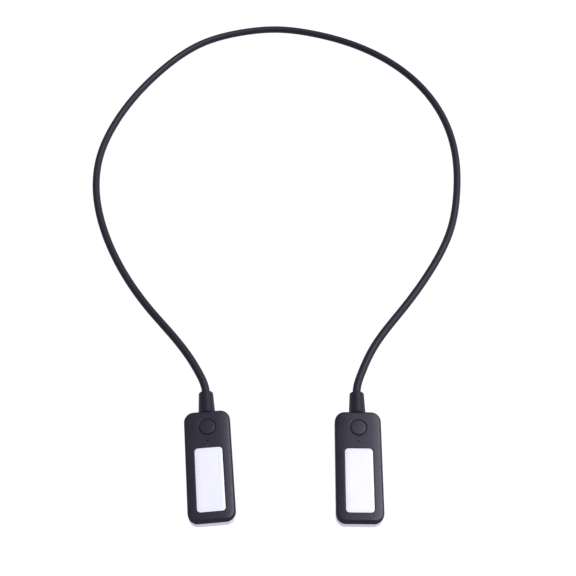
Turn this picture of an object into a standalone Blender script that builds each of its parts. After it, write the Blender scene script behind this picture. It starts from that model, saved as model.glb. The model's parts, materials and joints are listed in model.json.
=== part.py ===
"""Neck reading light: two slim lamp heads on the ends of one bendable loop that hangs round the neck.

Lengths are in metres and +Z is up. The light lies on its back on a table, as it is shown: the loop's
back arc is towards +Y, the two heads are at -Y, and the lamps face +Z. Each head is a complete lamp
with its own battery, button and charging socket, so no current runs through the neck. The neck is a
silicone sleeve over a soft wire that keeps the shape it is bent to. It bends anywhere along its
length, and here that bending is gathered into four short zones on each side.

A head's own frame has its origin on the collar end's back edge: X across, -Y down the head to its
free end, and Z out of the back face towards the lamp.
"""

import math

import bmesh
import bpy
import numpy as np
from mathutils import Matrix, Vector

# Casing of a lamp head
HEAD_WIDTH = 0.0262
HEAD_LENGTH = 0.0637
HEAD_THICKNESS = 0.0110
HEAD_CORNER_RADIUS = 0.0055
FRONT_EDGE_RADIUS = 0.0015
BACK_EDGE_RADIUS = 0.0010
FRONT_SHELL_DEPTH = 0.0049
SEAM_GAP = 0.0002
REAR_WALL = 0.0014
FRONT_WALL = 0.0018
FRONT_SKIN = 0.0015
INNER_EDGE_RADIUS = 0.0004
LIP_WIDTH = 0.0007
LIP_DEPTH = 0.0010

# Clearances and overruns
FIT_GAP = 0.0003
SOLDER_GAP = 0.00015
OVERRUN = 0.0005

# Light window and its diffuser panel
WINDOW_TOP = 0.0220
WINDOW_SIDE_MARGIN = 0.0052
WINDOW_END_MARGIN = 0.0049
WINDOW_CORNER_RADIUS = 0.0017
WINDOW_CHAMFER = 0.00025
WINDOW_CLEARANCE = 0.00015
DIFFUSER_FLANGE = 0.0012
DIFFUSER_FLANGE_THICKNESS = 0.0006
DIFFUSER_FLANGE_CORNER = 0.0033
DIFFUSER_BEVEL = 0.0014
DIFFUSER_EDGE_SINK = 0.0001
DIFFUSER_RISE = 0.00025

# Button, its switch and the pin-hole indicator
BUTTON_Y = -0.0096
BUTTON_RADIUS = 0.0045
BUTTON_GROOVE = 0.0003
BUTTON_HOLE_CHAMFER = 0.0003
BUTTON_PROUD = 0.0004
BUTTON_EDGE_RADIUS = 0.00035
BUTTON_CROWN = 0.00008
BUTTON_CAP_SKIN = 0.0010
BUTTON_CAP_WALL = 0.0010
BUTTON_FLANGE_WIDTH = 0.0007
BUTTON_FLANGE_THICKNESS = 0.0004
BUTTON_NUB_RADIUS = 0.0010
BUTTON_TRAVEL = 0.0005
SWITCH_WIDTH = 0.0044
SWITCH_HEIGHT = 0.00135
SWITCH_STEM_RADIUS = 0.0009
SWITCH_STEM_PROUD = 0.0006
INDICATOR_Y = -0.0181
INDICATOR_HOLE_RADIUS = 0.00045
INDICATOR_PIPE_RADIUS = 0.00028
INDICATOR_RECESS = 0.0002

# Circuit board, lamps and socket
BOARD_DEPTH = 0.00465
BOARD_THICKNESS = 0.0008
BOARD_END_CLEARANCE = 0.0005
BOARD_CORNER_RADIUS = 0.0012
CHIP_WIDTH = 0.0028
CHIP_LENGTH = 0.0035
CHIP_THICKNESS = 0.0007
CHIP_ROWS = 6
CHIP_COLUMNS = 2
SOCKET_Y = -0.0145
SOCKET_WIDTH = 0.0090
SOCKET_HEIGHT = 0.0032
SOCKET_DEPTH = 0.0073
SOCKET_SHELL = 0.0003
SOCKET_TONGUE_WIDTH = 0.0067
SOCKET_TONGUE_THICKNESS = 0.0007
SOCKET_TONGUE_SETBACK = 0.0008
SOCKET_RECESS = 0.0002

# Battery and its leads
BATTERY_TOP = 0.0215
BATTERY_SIDE_CLEARANCE = 0.0016
BATTERY_END_CLEARANCE = 0.0015
BATTERY_HEADROOM = 0.00075
BATTERY_CORNER_RADIUS = 0.0022
BATTERY_SIDE_RADIUS = 0.0014
LEAD_RADIUS = 0.0004
LEAD_SPACING = 0.0022
LEAD_X = -0.0050
LEAD_RUN = 0.0042

# Posts, screws, locating pins and the fins that carry the board
POST_INSET_X = 0.00315
POST_INSET_Y = 0.0034
REAR_POST_RADIUS = 0.0024
FRONT_POST_RADIUS = 0.0018
SCREW_RADIUS = 0.0009
SCREW_LENGTH = 0.0066
SCREW_HEAD_RADIUS = 0.0016
SCREW_HEAD_HEIGHT = 0.0009
SCREW_RECESS = 0.0003
PIN_LENGTH = 0.0016
FIN_THICKNESS = 0.0006
FIN_LENGTH = 0.0030
LEDGE_WIDTH = 0.0013

# Strain relief boot and the crimped ferrule that holds the neck wire's end
BOOT_LENGTH = 0.0136
BOOT_TIP_RADIUS = 0.0042
BOOT_BASE_RADIUS = 0.0048
BOOT_MOUTH_ROUND = 0.0010
BOOT_LIP_WIDTH = 0.0003
BOOT_LIP_LENGTH = 0.0007
BOOT_FLANGE_RADIUS = 0.0037
BOOT_FLANGE_LENGTH = 0.0008
BOOT_GROOVE_RADIUS = 0.0031
BOOT_BORE_CLEARANCE = 0.00015
FERRULE_ACROSS_FLATS = 0.0042
FERRULE_LENGTH = 0.0034
SADDLE_WALL = 0.0016
SADDLE_STOP = 0.0009
HOLD_DOWN_THICKNESS = 0.0007

# Neck
SLEEVE_RADIUS = 0.00235
SLEEVE_BORE_RADIUS = 0.0012
WIRE_RADIUS = 0.0009
SLEEVE_TAIL = 0.0026
NECK_SETTLE_LENGTH = 0.110
PIECE_GAP = 0.0003
RING_SPACING = 0.0110
FINE_RING_SPACING = 0.0050

# Loop: its size, the places of the two heads, and the route between their boots
LOOP_HALF_WIDTH = 0.1201
LOOP_LENGTH = 0.2932
LEFT_HEAD_PLACE = (-0.0393, -0.0115)
RIGHT_HEAD_PLACE = (0.0470, -0.01185)
LEFT_HEAD_TURN = math.radians(5.1)
RIGHT_HEAD_TURN = math.radians(-0.6)
LOOP_ROUTE_SHARES = [
    (-0.375, 0.05), (-0.45, 0.10), (-0.645, 0.20), (-0.81, 0.30), (-0.925, 0.40), (-0.99, 0.50),
    (-0.995, 0.60), (-0.93, 0.70), (-0.805, 0.80), (-0.68, 0.87), (-0.45, 0.955), (-0.22, 0.99),
    (0.0, 1.0),
    (0.22, 0.985), (0.45, 0.95), (0.725, 0.87), (0.86, 0.80), (0.965, 0.70), (1.0, 0.60),
    (0.985, 0.50), (0.93, 0.40), (0.81, 0.30), (0.645, 0.20), (0.475, 0.10), (0.42, 0.05),
]

# Zones where the neck bends, measured along it from a boot's mouth
TWIST_ZONE_START = 0.0020
TWIST_ZONE_LENGTH = 0.0200
TILT_ZONE_LENGTH = 0.0400
FOLD_ZONE_LENGTH = 0.0500
SPREAD_ZONE_LENGTH = 0.0500

# Facets
CORNER_STEPS = 5
EDGE_STEPS = 3
NECK_SIDES = 10
WIRE_SIDES = 6
ROUND_SIDES = 20
SMALL_SIDES = 8
SHARP_ANGLE = math.radians(35)

UP = Vector((0.0, 0.0, 1.0))


# Scene and materials

def clear_scene():
    for thing in list(bpy.data.objects):
        bpy.data.objects.remove(thing, do_unlink=True)


def material(name, colour, roughness, metallic=0.0):
    """A Principled material, made once and then shared."""
    found = bpy.data.materials.get(name)
    if found:
        return found
    made = bpy.data.materials.new(name)
    made.use_nodes = True
    shader = made.node_tree.nodes["Principled BSDF"]
    shader.inputs["Base Color"].default_value = (*colour, 1.0)
    shader.inputs["Roughness"].default_value = roughness
    shader.inputs["Metallic"].default_value = metallic
    return made


def black_plastic():
    return material("black_plastic", (0.034, 0.032, 0.045), 0.42)


def white_plastic():
    return material("white_plastic", (0.80, 0.79, 0.80), 0.38)


def diffuser_plastic():
    return material("diffuser_plastic", (0.90, 0.90, 0.95), 0.30)


def silicone():
    return material("silicone", (0.030, 0.029, 0.038), 0.55)


def boot_rubber():
    return material("boot_rubber", (0.028, 0.027, 0.035), 0.60)


def wire_metal():
    return material("wire_metal", (0.62, 0.62, 0.64), 0.35, 1.0)


def brass():
    return material("brass", (0.75, 0.58, 0.28), 0.35, 1.0)


def screw_steel():
    return material("screw_steel", (0.45, 0.45, 0.47), 0.35, 1.0)


def socket_steel():
    return material("socket_steel", (0.68, 0.68, 0.70), 0.28, 1.0)


def board_green():
    return material("board_green", (0.02, 0.16, 0.07), 0.40)


def switch_metal():
    return material("switch_metal", (0.60, 0.60, 0.62), 0.35, 1.0)


def stem_black():
    return material("stem_black", (0.02, 0.02, 0.02), 0.45)


def clear_plastic():
    return material("clear_plastic", (0.85, 0.88, 0.90), 0.15)


def battery_foil():
    return material("battery_foil", (0.62, 0.64, 0.66), 0.40, 0.7)


def red_insulation():
    return material("red_insulation", (0.55, 0.03, 0.03), 0.50)


# Mesh helpers

def rounded_outline(width, length, radius, centre_y=0.0, steps=CORNER_STEPS):
    """Anticlockwise points of a rectangle with round corners, centred on x = 0 and y = centre_y."""
    points = []
    for corner in range(4):
        side_x = 1 if corner in (0, 3) else -1
        side_y = 1 if corner in (0, 1) else -1
        middle = Vector((side_x * (width / 2 - radius), centre_y + side_y * (length / 2 - radius)))
        for step in range(steps + 1):
            angle = math.radians(90 * (corner + step / steps))
            points.append(middle + radius * Vector((math.cos(angle), math.sin(angle))))
    return points


def polygon_outline(radius, sides, centre_x=0.0, centre_y=0.0, first_angle=0.0):
    """Anticlockwise points of a regular polygon."""
    angles = [first_angle + 2 * math.pi * side / sides for side in range(sides)]
    return [Vector((centre_x + radius * math.cos(a), centre_y + radius * math.sin(a))) for a in angles]


def loft(mesh, rings):
    """A closed skin through rings of points, with the first and last ring capped."""
    made = [[mesh.verts.new(point) for point in ring] for ring in rings]
    count = len(made[0])
    for lower, upper in zip(made, made[1:]):
        for i in range(count):
            j = (i + 1) % count
            mesh.faces.new((lower[i], lower[j], upper[j], upper[i]))
    mesh.faces.new(list(reversed(made[0])))
    mesh.faces.new(made[-1])


def closed_loft(mesh, rings):
    """A skin through rings of points, joined round from the last ring to the first, like a torus."""
    made = [[mesh.verts.new(point) for point in ring] for ring in rings]
    count = len(made[0])
    for lower, upper in zip(made, made[1:] + made[:1]):
        for i in range(count):
            j = (i + 1) % count
            mesh.faces.new((lower[i], lower[j], upper[j], upper[i]))


def prism(mesh, outline, low, high):
    """A straight-sided solid over an outline, from height low to height high."""
    loft(mesh, [[point.to_3d() + UP * z for point in outline] for z in (low, high)])


def block(mesh, x_span, y_span, z_span):
    """A rectangular solid between two values on each axis."""
    corners = [(x_span[0], y_span[0]), (x_span[1], y_span[0]), (x_span[1], y_span[1]),
               (x_span[0], y_span[1])]
    prism(mesh, [Vector(corner) for corner in corners], z_span[0], z_span[1])


def turned(mesh, profile, sides, placing=None, centre=(0.0, 0.0)):
    """A solid of revolution. The profile's first and last points are on the axis, at radius zero."""
    placing = placing or Matrix.Identity(4)
    bottom = mesh.verts.new(placing @ Vector((*centre, profile[0][1])))
    top = mesh.verts.new(placing @ Vector((*centre, profile[-1][1])))
    rings = []
    for radius, height in profile[1:-1]:
        ring = [point.to_3d() + UP * height for point in polygon_outline(radius, sides, *centre)]
        rings.append([mesh.verts.new(placing @ point) for point in ring])
    for i in range(sides):
        j = (i + 1) % sides
        mesh.faces.new((bottom, rings[0][j], rings[0][i]))
        for lower, upper in zip(rings, rings[1:]):
            mesh.faces.new((lower[i], lower[j], upper[j], upper[i]))
        mesh.faces.new((rings[-1][i], rings[-1][j], top))


def finish(name, mesh, parent, finish_material, location=(0.0, 0.0, 0.0)):
    """Turn a bmesh into a named, smooth-shaded object under its parent."""
    bmesh.ops.recalc_face_normals(mesh, faces=mesh.faces)
    data = bpy.data.meshes.new(name)
    mesh.to_mesh(data)
    mesh.free()
    data.shade_smooth()
    data.set_sharp_from_angle(angle=SHARP_ANGLE)
    data.materials.append(finish_material)
    made = bpy.data.objects.new(name, data)
    made.parent = parent
    made.location = location
    bpy.context.scene.collection.objects.link(made)
    return made


def combine(target, mesh, operation):
    """Add or cut a shape with a Boolean modifier on the target."""
    tool = finish(f"{target.name}.{operation.lower()}", mesh, target.parent, target.data.materials[0])
    tool.location = target.location
    tool.hide_render = True
    tool.display_type = "WIRE"
    boolean = target.modifiers.new(operation.title(), "BOOLEAN")
    boolean.operation = operation
    boolean.object = tool


def guide(name, place, parent=None, turn=0.0):
    """An empty at a world place, on a joint's axis or at a head's own origin."""
    made = bpy.data.objects.new(name, None)
    made.empty_display_size = SLEEVE_RADIUS
    made["place"] = tuple(place)
    made.parent = parent
    made.location = Vector(place) - Vector(parent["place"] if parent else (0.0, 0.0, 0.0))
    made.rotation_euler.z = turn
    bpy.context.scene.collection.objects.link(made)
    return made


# Levels and sizes in a head that follow from the ones above

HEAD_MIDDLE_Y = -HEAD_LENGTH / 2
NECK_AXIS_HEIGHT = HEAD_THICKNESS / 2
WINDOW_WIDTH = HEAD_WIDTH - 2 * WINDOW_SIDE_MARGIN
WINDOW_LENGTH = HEAD_LENGTH - WINDOW_TOP - WINDOW_END_MARGIN
WINDOW_MIDDLE_Y = -WINDOW_TOP - WINDOW_LENGTH / 2
REAR_RIM = HEAD_THICKNESS - FRONT_SHELL_DEPTH
FRONT_RIM = REAR_RIM + SEAM_GAP
LIP_FLOOR = REAR_RIM - LIP_DEPTH
TONGUE_TIP = LIP_FLOOR + FIT_GAP
CEILING = HEAD_THICKNESS - FRONT_SKIN
BOOT_FLANGE_END = -FRONT_WALL - FIT_GAP - BOOT_FLANGE_LENGTH
FERRULE_FRONT = BOOT_FLANGE_END - FIT_GAP
FERRULE_BACK = FERRULE_FRONT - FERRULE_LENGTH
BOARD_HEIGHT = HEAD_THICKNESS - BOARD_DEPTH
BOARD_TOP = BOARD_HEIGHT + BOARD_THICKNESS
BOARD_WIDTH = HEAD_WIDTH - 2 * (FRONT_WALL + FIT_GAP) - 2 * FIT_GAP
BOARD_FIRST_Y = FERRULE_BACK - BOARD_END_CLEARANCE
BOARD_LAST_Y = POST_INSET_Y + FRONT_POST_RADIUS + BOARD_END_CLEARANCE - HEAD_LENGTH
BOARD_LENGTH = BOARD_FIRST_Y - BOARD_LAST_Y
BOARD_MIDDLE_Y = (BOARD_FIRST_Y + BOARD_LAST_Y) / 2
BATTERY_WIDTH = HEAD_WIDTH - 2 * (REAR_WALL + BATTERY_SIDE_CLEARANCE)
BATTERY_LAST_Y = POST_INSET_Y + REAR_POST_RADIUS + BATTERY_END_CLEARANCE - HEAD_LENGTH
BATTERY_LENGTH = -BATTERY_TOP - BATTERY_LAST_Y
BATTERY_THICKNESS = BOARD_HEIGHT - BATTERY_HEADROOM - REAR_WALL - FIT_GAP
SWITCH_FLOOR = BOARD_TOP + SOLDER_GAP
SWITCH_TOP = SWITCH_FLOOR + SWITCH_HEIGHT
BUTTON_HOLE_RADIUS = BUTTON_RADIUS + BUTTON_GROOVE
SOCKET_MIDDLE_Z = BOARD_HEIGHT - SOLDER_GAP - SOCKET_HEIGHT / 2
BOOT_HOLE_RADIUS = BOOT_GROOVE_RADIUS + FIT_GAP
FRONT_POST_TIP = FRONT_RIM
SCREW_SEAT = SCREW_RECESS + SCREW_HEAD_HEIGHT + FIT_GAP
SCREW_TIP = SCREW_RECESS + SCREW_HEAD_HEIGHT + SCREW_LENGTH
PLAN_TO_SIDE = Matrix.Rotation(math.radians(-90), 4, "X")


def casing_ring(inset, height):
    """The head's plan outline, drawn in by inset, at a height."""
    radius = max(HEAD_CORNER_RADIUS - inset, INNER_EDGE_RADIUS)
    outline = rounded_outline(HEAD_WIDTH - 2 * inset, HEAD_LENGTH - 2 * inset, radius, HEAD_MIDDLE_Y)
    return [point.to_3d() + UP * height for point in outline]


def edge_round(radius, height, direction):
    """Insets and heights round the casing's edge, from the flat face out to the side wall."""
    angles = [math.radians(90 * step / EDGE_STEPS) for step in range(EDGE_STEPS + 1)]
    return [(radius * (1 - math.sin(a)), height + direction * radius * (1 - math.cos(a))) for a in angles]


def screw_places():
    """Centres of the two screws, in the free end's corners."""
    x = HEAD_WIDTH / 2 - POST_INSET_X
    return [(-x, POST_INSET_Y - HEAD_LENGTH), (x, POST_INSET_Y - HEAD_LENGTH)]


def pin_places():
    """Centres of the two locating pins, in the collar end's corners."""
    x = HEAD_WIDTH / 2 - POST_INSET_X
    return [(-x, -POST_INSET_Y), (x, -POST_INSET_Y)]


def fin_middles():
    """Places down the head where the board is held at both its edges."""
    return [BOARD_MIDDLE_Y + FIN_LENGTH, BOARD_LAST_Y + FIN_LENGTH]


def boot_hole(mesh):
    """The round hole through the collar end's wall, half in each shell."""
    profile = [(0.0, -FRONT_WALL - OVERRUN), (BOOT_HOLE_RADIUS, -FRONT_WALL - OVERRUN),
               (BOOT_HOLE_RADIUS, OVERRUN), (0.0, OVERRUN)]
    placing = Matrix.Translation((0.0, 0.0, NECK_AXIS_HEIGHT)) @ PLAN_TO_SIDE
    turned(mesh, profile, ROUND_SIDES, placing)


def socket_outline(grow):
    """The charging socket's mouth in the YZ plane, as points with long round ends."""
    width = SOCKET_WIDTH + 2 * grow
    height = SOCKET_HEIGHT + 2 * grow
    outline = rounded_outline(width, height, height / 2 - INNER_EDGE_RADIUS)
    return [Vector((0.0, SOCKET_Y + point.x, SOCKET_MIDDLE_Z + point.y)) for point in outline]


def socket_hole(mesh):
    """The charging socket's opening through the side wall."""
    xs = (HEAD_WIDTH / 2 - FRONT_WALL - OVERRUN, HEAD_WIDTH / 2 + OVERRUN)
    loft(mesh, [[point + Vector((x, 0.0, 0.0)) for point in socket_outline(FIT_GAP)] for x in xs])


# The pieces of a head

def make_rear_cover(side, head):
    """White tub: floor, side walls with a stepped rim, posts, fins and the ferrule's saddle."""
    outside = edge_round(BACK_EDGE_RADIUS, 0.0, 1)
    inside = [(0.0, REAR_RIM), (LIP_WIDTH, REAR_RIM), (LIP_WIDTH, LIP_FLOOR), (REAR_WALL, LIP_FLOOR),
              (REAR_WALL, REAR_WALL + INNER_EDGE_RADIUS), (REAR_WALL + INNER_EDGE_RADIUS, REAR_WALL)]
    mesh = bmesh.new()
    loft(mesh, [casing_ring(inset, height) for inset, height in outside + inside])
    cover = finish(f"{side}_rear_cover", mesh, head, white_plastic())

    added = bmesh.new()
    for x, y in screw_places() + pin_places():
        prism(added, polygon_outline(REAR_POST_RADIUS, SMALL_SIDES, x, y), REAR_WALL / 2, LIP_FLOOR)
    fin_inner = BOARD_WIDTH / 2 - FIN_THICKNESS
    for y in fin_middles():
        for sign in (-1, 1):
            xs = sorted((sign * fin_inner, sign * BOARD_WIDTH / 2))
            block(added, xs, (y - FIN_LENGTH / 2, y + FIN_LENGTH / 2),
                  (REAR_WALL / 2, BOARD_HEIGHT - FIT_GAP))
    saddle_half = FERRULE_ACROSS_FLATS / 2 + FIT_GAP + SADDLE_WALL
    block(added, (-saddle_half, saddle_half), (FERRULE_BACK - FIT_GAP - SADDLE_STOP, FERRULE_FRONT),
          (REAR_WALL / 2, NECK_AXIS_HEIGHT))
    combine(cover, added, "UNION")

    cut = bmesh.new()
    boot_hole(cut)
    socket_hole(cut)
    for x, y in screw_places():
        profile = [(0.0, -OVERRUN), (SCREW_HEAD_RADIUS + FIT_GAP, -OVERRUN),
                   (SCREW_HEAD_RADIUS + FIT_GAP, SCREW_SEAT), (SCREW_RADIUS + FIT_GAP, SCREW_SEAT),
                   (SCREW_RADIUS + FIT_GAP, REAR_RIM + OVERRUN), (0.0, REAR_RIM + OVERRUN)]
        turned(cut, profile, SMALL_SIDES, centre=(x, y))
    for x, y in pin_places():
        hole = polygon_outline(SCREW_RADIUS + FIT_GAP, SMALL_SIDES, x, y)
        prism(cut, hole, LIP_FLOOR - PIN_LENGTH - FIT_GAP, REAR_RIM + OVERRUN)
    pocket = FERRULE_ACROSS_FLATS / 2 + FIT_GAP
    block(cut, (-pocket, pocket), (FERRULE_BACK - FIT_GAP, FERRULE_FRONT + OVERRUN),
          (NECK_AXIS_HEIGHT - pocket, NECK_AXIS_HEIGHT + OVERRUN))
    combine(cover, cut, "DIFFERENCE")
    return cover


def make_front_shell(side, head):
    """Black shell: window, button and indicator holes, posts, pins, board ledges and hold-down rib."""
    outside = edge_round(FRONT_EDGE_RADIUS, HEAD_THICKNESS, -1)
    inside = [(0.0, FRONT_RIM), (LIP_WIDTH + FIT_GAP, FRONT_RIM), (LIP_WIDTH + FIT_GAP, TONGUE_TIP),
              (FRONT_WALL, TONGUE_TIP), (FRONT_WALL, CEILING - INNER_EDGE_RADIUS),
              (FRONT_WALL + INNER_EDGE_RADIUS, CEILING)]
    mesh = bmesh.new()
    loft(mesh, [casing_ring(inset, height) for inset, height in outside + inside])
    shell = finish(f"{side}_front_shell", mesh, head, black_plastic())

    added = bmesh.new()
    roof = HEAD_THICKNESS - FRONT_SKIN / 2
    for x, y in screw_places():
        prism(added, polygon_outline(FRONT_POST_RADIUS, SMALL_SIDES, x, y), FRONT_POST_TIP, roof)
    for x, y in pin_places():
        profile = [(0.0, LIP_FLOOR - PIN_LENGTH), (SCREW_RADIUS, LIP_FLOOR - PIN_LENGTH),
                   (SCREW_RADIUS, FRONT_POST_TIP), (FRONT_POST_RADIUS, FRONT_POST_TIP),
                   (FRONT_POST_RADIUS, roof), (0.0, roof)]
        turned(added, profile, SMALL_SIDES, centre=(x, y))
    wall = HEAD_WIDTH / 2 - FRONT_WALL
    for y in fin_middles():
        for sign in (-1, 1):
            xs = sorted((sign * (wall - LEDGE_WIDTH), sign * (wall + FRONT_WALL / 2)))
            block(added, xs, (y - FIN_LENGTH / 2, y + FIN_LENGTH / 2), (BOARD_TOP + SOLDER_GAP, roof))
    rib_half = FERRULE_ACROSS_FLATS / 2
    block(added, (-rib_half, rib_half), (FERRULE_FRONT - HOLD_DOWN_THICKNESS, FERRULE_FRONT),
          (NECK_AXIS_HEIGHT + FERRULE_ACROSS_FLATS / 2 + FIT_GAP, roof))
    combine(shell, added, "UNION")

    cut = bmesh.new()
    boot_hole(cut)
    socket_hole(cut)
    for x, y in screw_places():
        hole = polygon_outline(SCREW_RADIUS + FIT_GAP, SMALL_SIDES, x, y)
        prism(cut, hole, TONGUE_TIP, SCREW_TIP + FIT_GAP)
    levels = [(0.0, CEILING - OVERRUN), (0.0, HEAD_THICKNESS - WINDOW_CHAMFER),
              (WINDOW_CHAMFER + OVERRUN, HEAD_THICKNESS + OVERRUN)]
    rings = []
    for grow, height in levels:
        outline = rounded_outline(WINDOW_WIDTH + 2 * grow, WINDOW_LENGTH + 2 * grow,
                                  WINDOW_CORNER_RADIUS + grow, WINDOW_MIDDLE_Y)
        rings.append([point.to_3d() + UP * height for point in outline])
    loft(cut, rings)
    hole_lip = HEAD_THICKNESS - BUTTON_HOLE_CHAMFER
    profile = [(0.0, CEILING - OVERRUN), (BUTTON_HOLE_RADIUS, CEILING - OVERRUN),
               (BUTTON_HOLE_RADIUS, hole_lip),
               (BUTTON_HOLE_RADIUS + BUTTON_HOLE_CHAMFER + OVERRUN, HEAD_THICKNESS + OVERRUN),
               (0.0, HEAD_THICKNESS + OVERRUN)]
    turned(cut, profile, ROUND_SIDES, centre=(0.0, BUTTON_Y))
    pin_hole = polygon_outline(INDICATOR_HOLE_RADIUS, SMALL_SIDES, 0.0, INDICATOR_Y)
    prism(cut, pin_hole, CEILING - OVERRUN, HEAD_THICKNESS + OVERRUN)
    combine(shell, cut, "DIFFERENCE")
    return shell


def make_diffuser(side, head):
    """Milky panel: a flange behind the shell, and a raised face with a wide bevel in the window."""
    flange_top = CEILING - FIT_GAP
    panel_edge = HEAD_THICKNESS - DIFFUSER_EDGE_SINK
    levels = [(DIFFUSER_FLANGE, DIFFUSER_FLANGE_CORNER, flange_top - DIFFUSER_FLANGE_THICKNESS),
              (DIFFUSER_FLANGE, DIFFUSER_FLANGE_CORNER, flange_top),
              (-WINDOW_CLEARANCE, WINDOW_CORNER_RADIUS - WINDOW_CLEARANCE, flange_top),
              (-WINDOW_CLEARANCE, WINDOW_CORNER_RADIUS - WINDOW_CLEARANCE, panel_edge),
              (-WINDOW_CLEARANCE - DIFFUSER_BEVEL, WINDOW_CORNER_RADIUS / 2, panel_edge + DIFFUSER_RISE)]
    rings = []
    for grow, radius, height in levels:
        outline = rounded_outline(WINDOW_WIDTH + 2 * grow, WINDOW_LENGTH + 2 * grow, radius,
                                  WINDOW_MIDDLE_Y)
        rings.append([point.to_3d() + UP * height for point in outline])
    mesh = bmesh.new()
    loft(mesh, rings)
    return finish(f"{side}_diffuser", mesh, head, diffuser_plastic())


def make_circuit_board(side, head):
    """The one board of a head, with its grid of surface-mounted lamps soldered on under the window."""
    outline = rounded_outline(BOARD_WIDTH, BOARD_LENGTH, BOARD_CORNER_RADIUS, BOARD_MIDDLE_Y)
    mesh = bmesh.new()
    prism(mesh, outline, BOARD_HEIGHT, BOARD_TOP)
    board = finish(f"{side}_circuit_board", mesh, head, board_green())

    row_pitch = WINDOW_LENGTH / CHIP_ROWS
    column_pitch = WINDOW_WIDTH / CHIP_COLUMNS
    clip = CHIP_WIDTH / 4
    half_x = CHIP_WIDTH / 2
    half_y = CHIP_LENGTH / 2
    corners = [(half_x, half_y - clip), (half_x - clip, half_y), (-half_x, half_y), (-half_x, -half_y),
               (half_x, -half_y)]
    chips = bmesh.new()
    for column in range(CHIP_COLUMNS):
        x = (column - (CHIP_COLUMNS - 1) / 2) * column_pitch
        for row in range(CHIP_ROWS):
            y = -WINDOW_TOP - (row + 1 / 2) * row_pitch
            outline = [Vector((x + a, y + b)) for a, b in corners]
            prism(chips, outline, BOARD_TOP - BOARD_THICKNESS / 2, BOARD_TOP + CHIP_THICKNESS)
    combine(board, chips, "UNION")
    return board


def make_switch(side, head):
    """Body of the tactile switch, open at the top for its stem."""
    mesh = bmesh.new()
    outline = rounded_outline(SWITCH_WIDTH, SWITCH_WIDTH, INNER_EDGE_RADIUS, BUTTON_Y, steps=1)
    prism(mesh, outline, SWITCH_FLOOR, SWITCH_TOP)
    body = finish(f"{side}_tactile_switch", mesh, head, switch_metal())
    well = bmesh.new()
    hole = polygon_outline(SWITCH_STEM_RADIUS + FIT_GAP, SMALL_SIDES, 0.0, BUTTON_Y)
    prism(well, hole, SWITCH_FLOOR + SOLDER_GAP, SWITCH_TOP + OVERRUN)
    combine(body, well, "DIFFERENCE")
    return body


def make_button_cap(side, button):
    """Round cap with a crowned face, a flange that keeps it in, and a nub over the stem."""
    top = BUTTON_PROUD
    flange_top = -FRONT_SKIN - FIT_GAP
    flange_low = flange_top - BUTTON_FLANGE_THICKNESS
    hollow = BUTTON_RADIUS - BUTTON_CAP_WALL
    hollow_top = top - BUTTON_CAP_SKIN
    nub_tip = SWITCH_TOP + SWITCH_STEM_PROUD + SOLDER_GAP - HEAD_THICKNESS
    flange = BUTTON_RADIUS + BUTTON_FLANGE_WIDTH
    edge = [(BUTTON_RADIUS - BUTTON_EDGE_RADIUS * (1 - math.cos(a)),
             top - BUTTON_CROWN - BUTTON_EDGE_RADIUS * (1 - math.sin(a)))
            for a in (math.radians(90 * step / EDGE_STEPS) for step in range(EDGE_STEPS + 1))]
    profile = [(0.0, nub_tip), (BUTTON_NUB_RADIUS, nub_tip), (BUTTON_NUB_RADIUS, hollow_top),
               (hollow, hollow_top), (hollow, flange_low), (flange, flange_low), (flange, flange_top),
               (BUTTON_RADIUS, flange_top), *edge, (BUTTON_RADIUS / 2, top - BUTTON_CROWN / 4),
               (0.0, top)]
    mesh = bmesh.new()
    turned(mesh, profile, ROUND_SIDES)
    return finish(f"{side}_button_cap", mesh, button, black_plastic())


def make_switch_stem(side, button):
    """The switch's own plunger, pushed by the cap's nub."""
    top = SWITCH_TOP + SWITCH_STEM_PROUD - HEAD_THICKNESS
    low = SWITCH_FLOOR + 2 * SOLDER_GAP + BUTTON_TRAVEL - HEAD_THICKNESS
    profile = [(0.0, low), (SWITCH_STEM_RADIUS, low), (SWITCH_STEM_RADIUS, top), (0.0, top)]
    mesh = bmesh.new()
    turned(mesh, profile, SMALL_SIDES)
    return finish(f"{side}_switch_stem", mesh, button, stem_black())


def make_light_pipe(side, head):
    """Clear pin that carries the charge lamp's light to the pin-hole."""
    low = BOARD_TOP + SOLDER_GAP
    foot = low + CHIP_THICKNESS
    top = HEAD_THICKNESS - INDICATOR_RECESS
    profile = [(0.0, low), (2 * INDICATOR_PIPE_RADIUS, low), (2 * INDICATOR_PIPE_RADIUS, foot),
               (INDICATOR_PIPE_RADIUS, foot), (INDICATOR_PIPE_RADIUS, top), (0.0, top)]
    mesh = bmesh.new()
    turned(mesh, profile, SMALL_SIDES, centre=(0.0, INDICATOR_Y))
    return finish(f"{side}_indicator_light_pipe", mesh, head, clear_plastic())


def make_battery(side, head):
    """Flat lithium pouch cell with rounded sides."""
    low = REAR_WALL + FIT_GAP
    middle_y = -BATTERY_TOP - BATTERY_LENGTH / 2
    rings = []
    for end, direction in ((low, 1), (low + BATTERY_THICKNESS, -1)):
        levels = [(inset, height) for inset, height in edge_round(BATTERY_SIDE_RADIUS, end, direction)]
        for inset, height in levels if direction > 0 else reversed(levels):
            outline = rounded_outline(BATTERY_WIDTH - 2 * inset, BATTERY_LENGTH - 2 * inset,
                                      BATTERY_CORNER_RADIUS - inset, middle_y, steps=3)
            rings.append([point.to_3d() + UP * height for point in outline])
    mesh = bmesh.new()
    loft(mesh, rings)
    return finish(f"{side}_battery", mesh, head, battery_foil())


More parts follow.
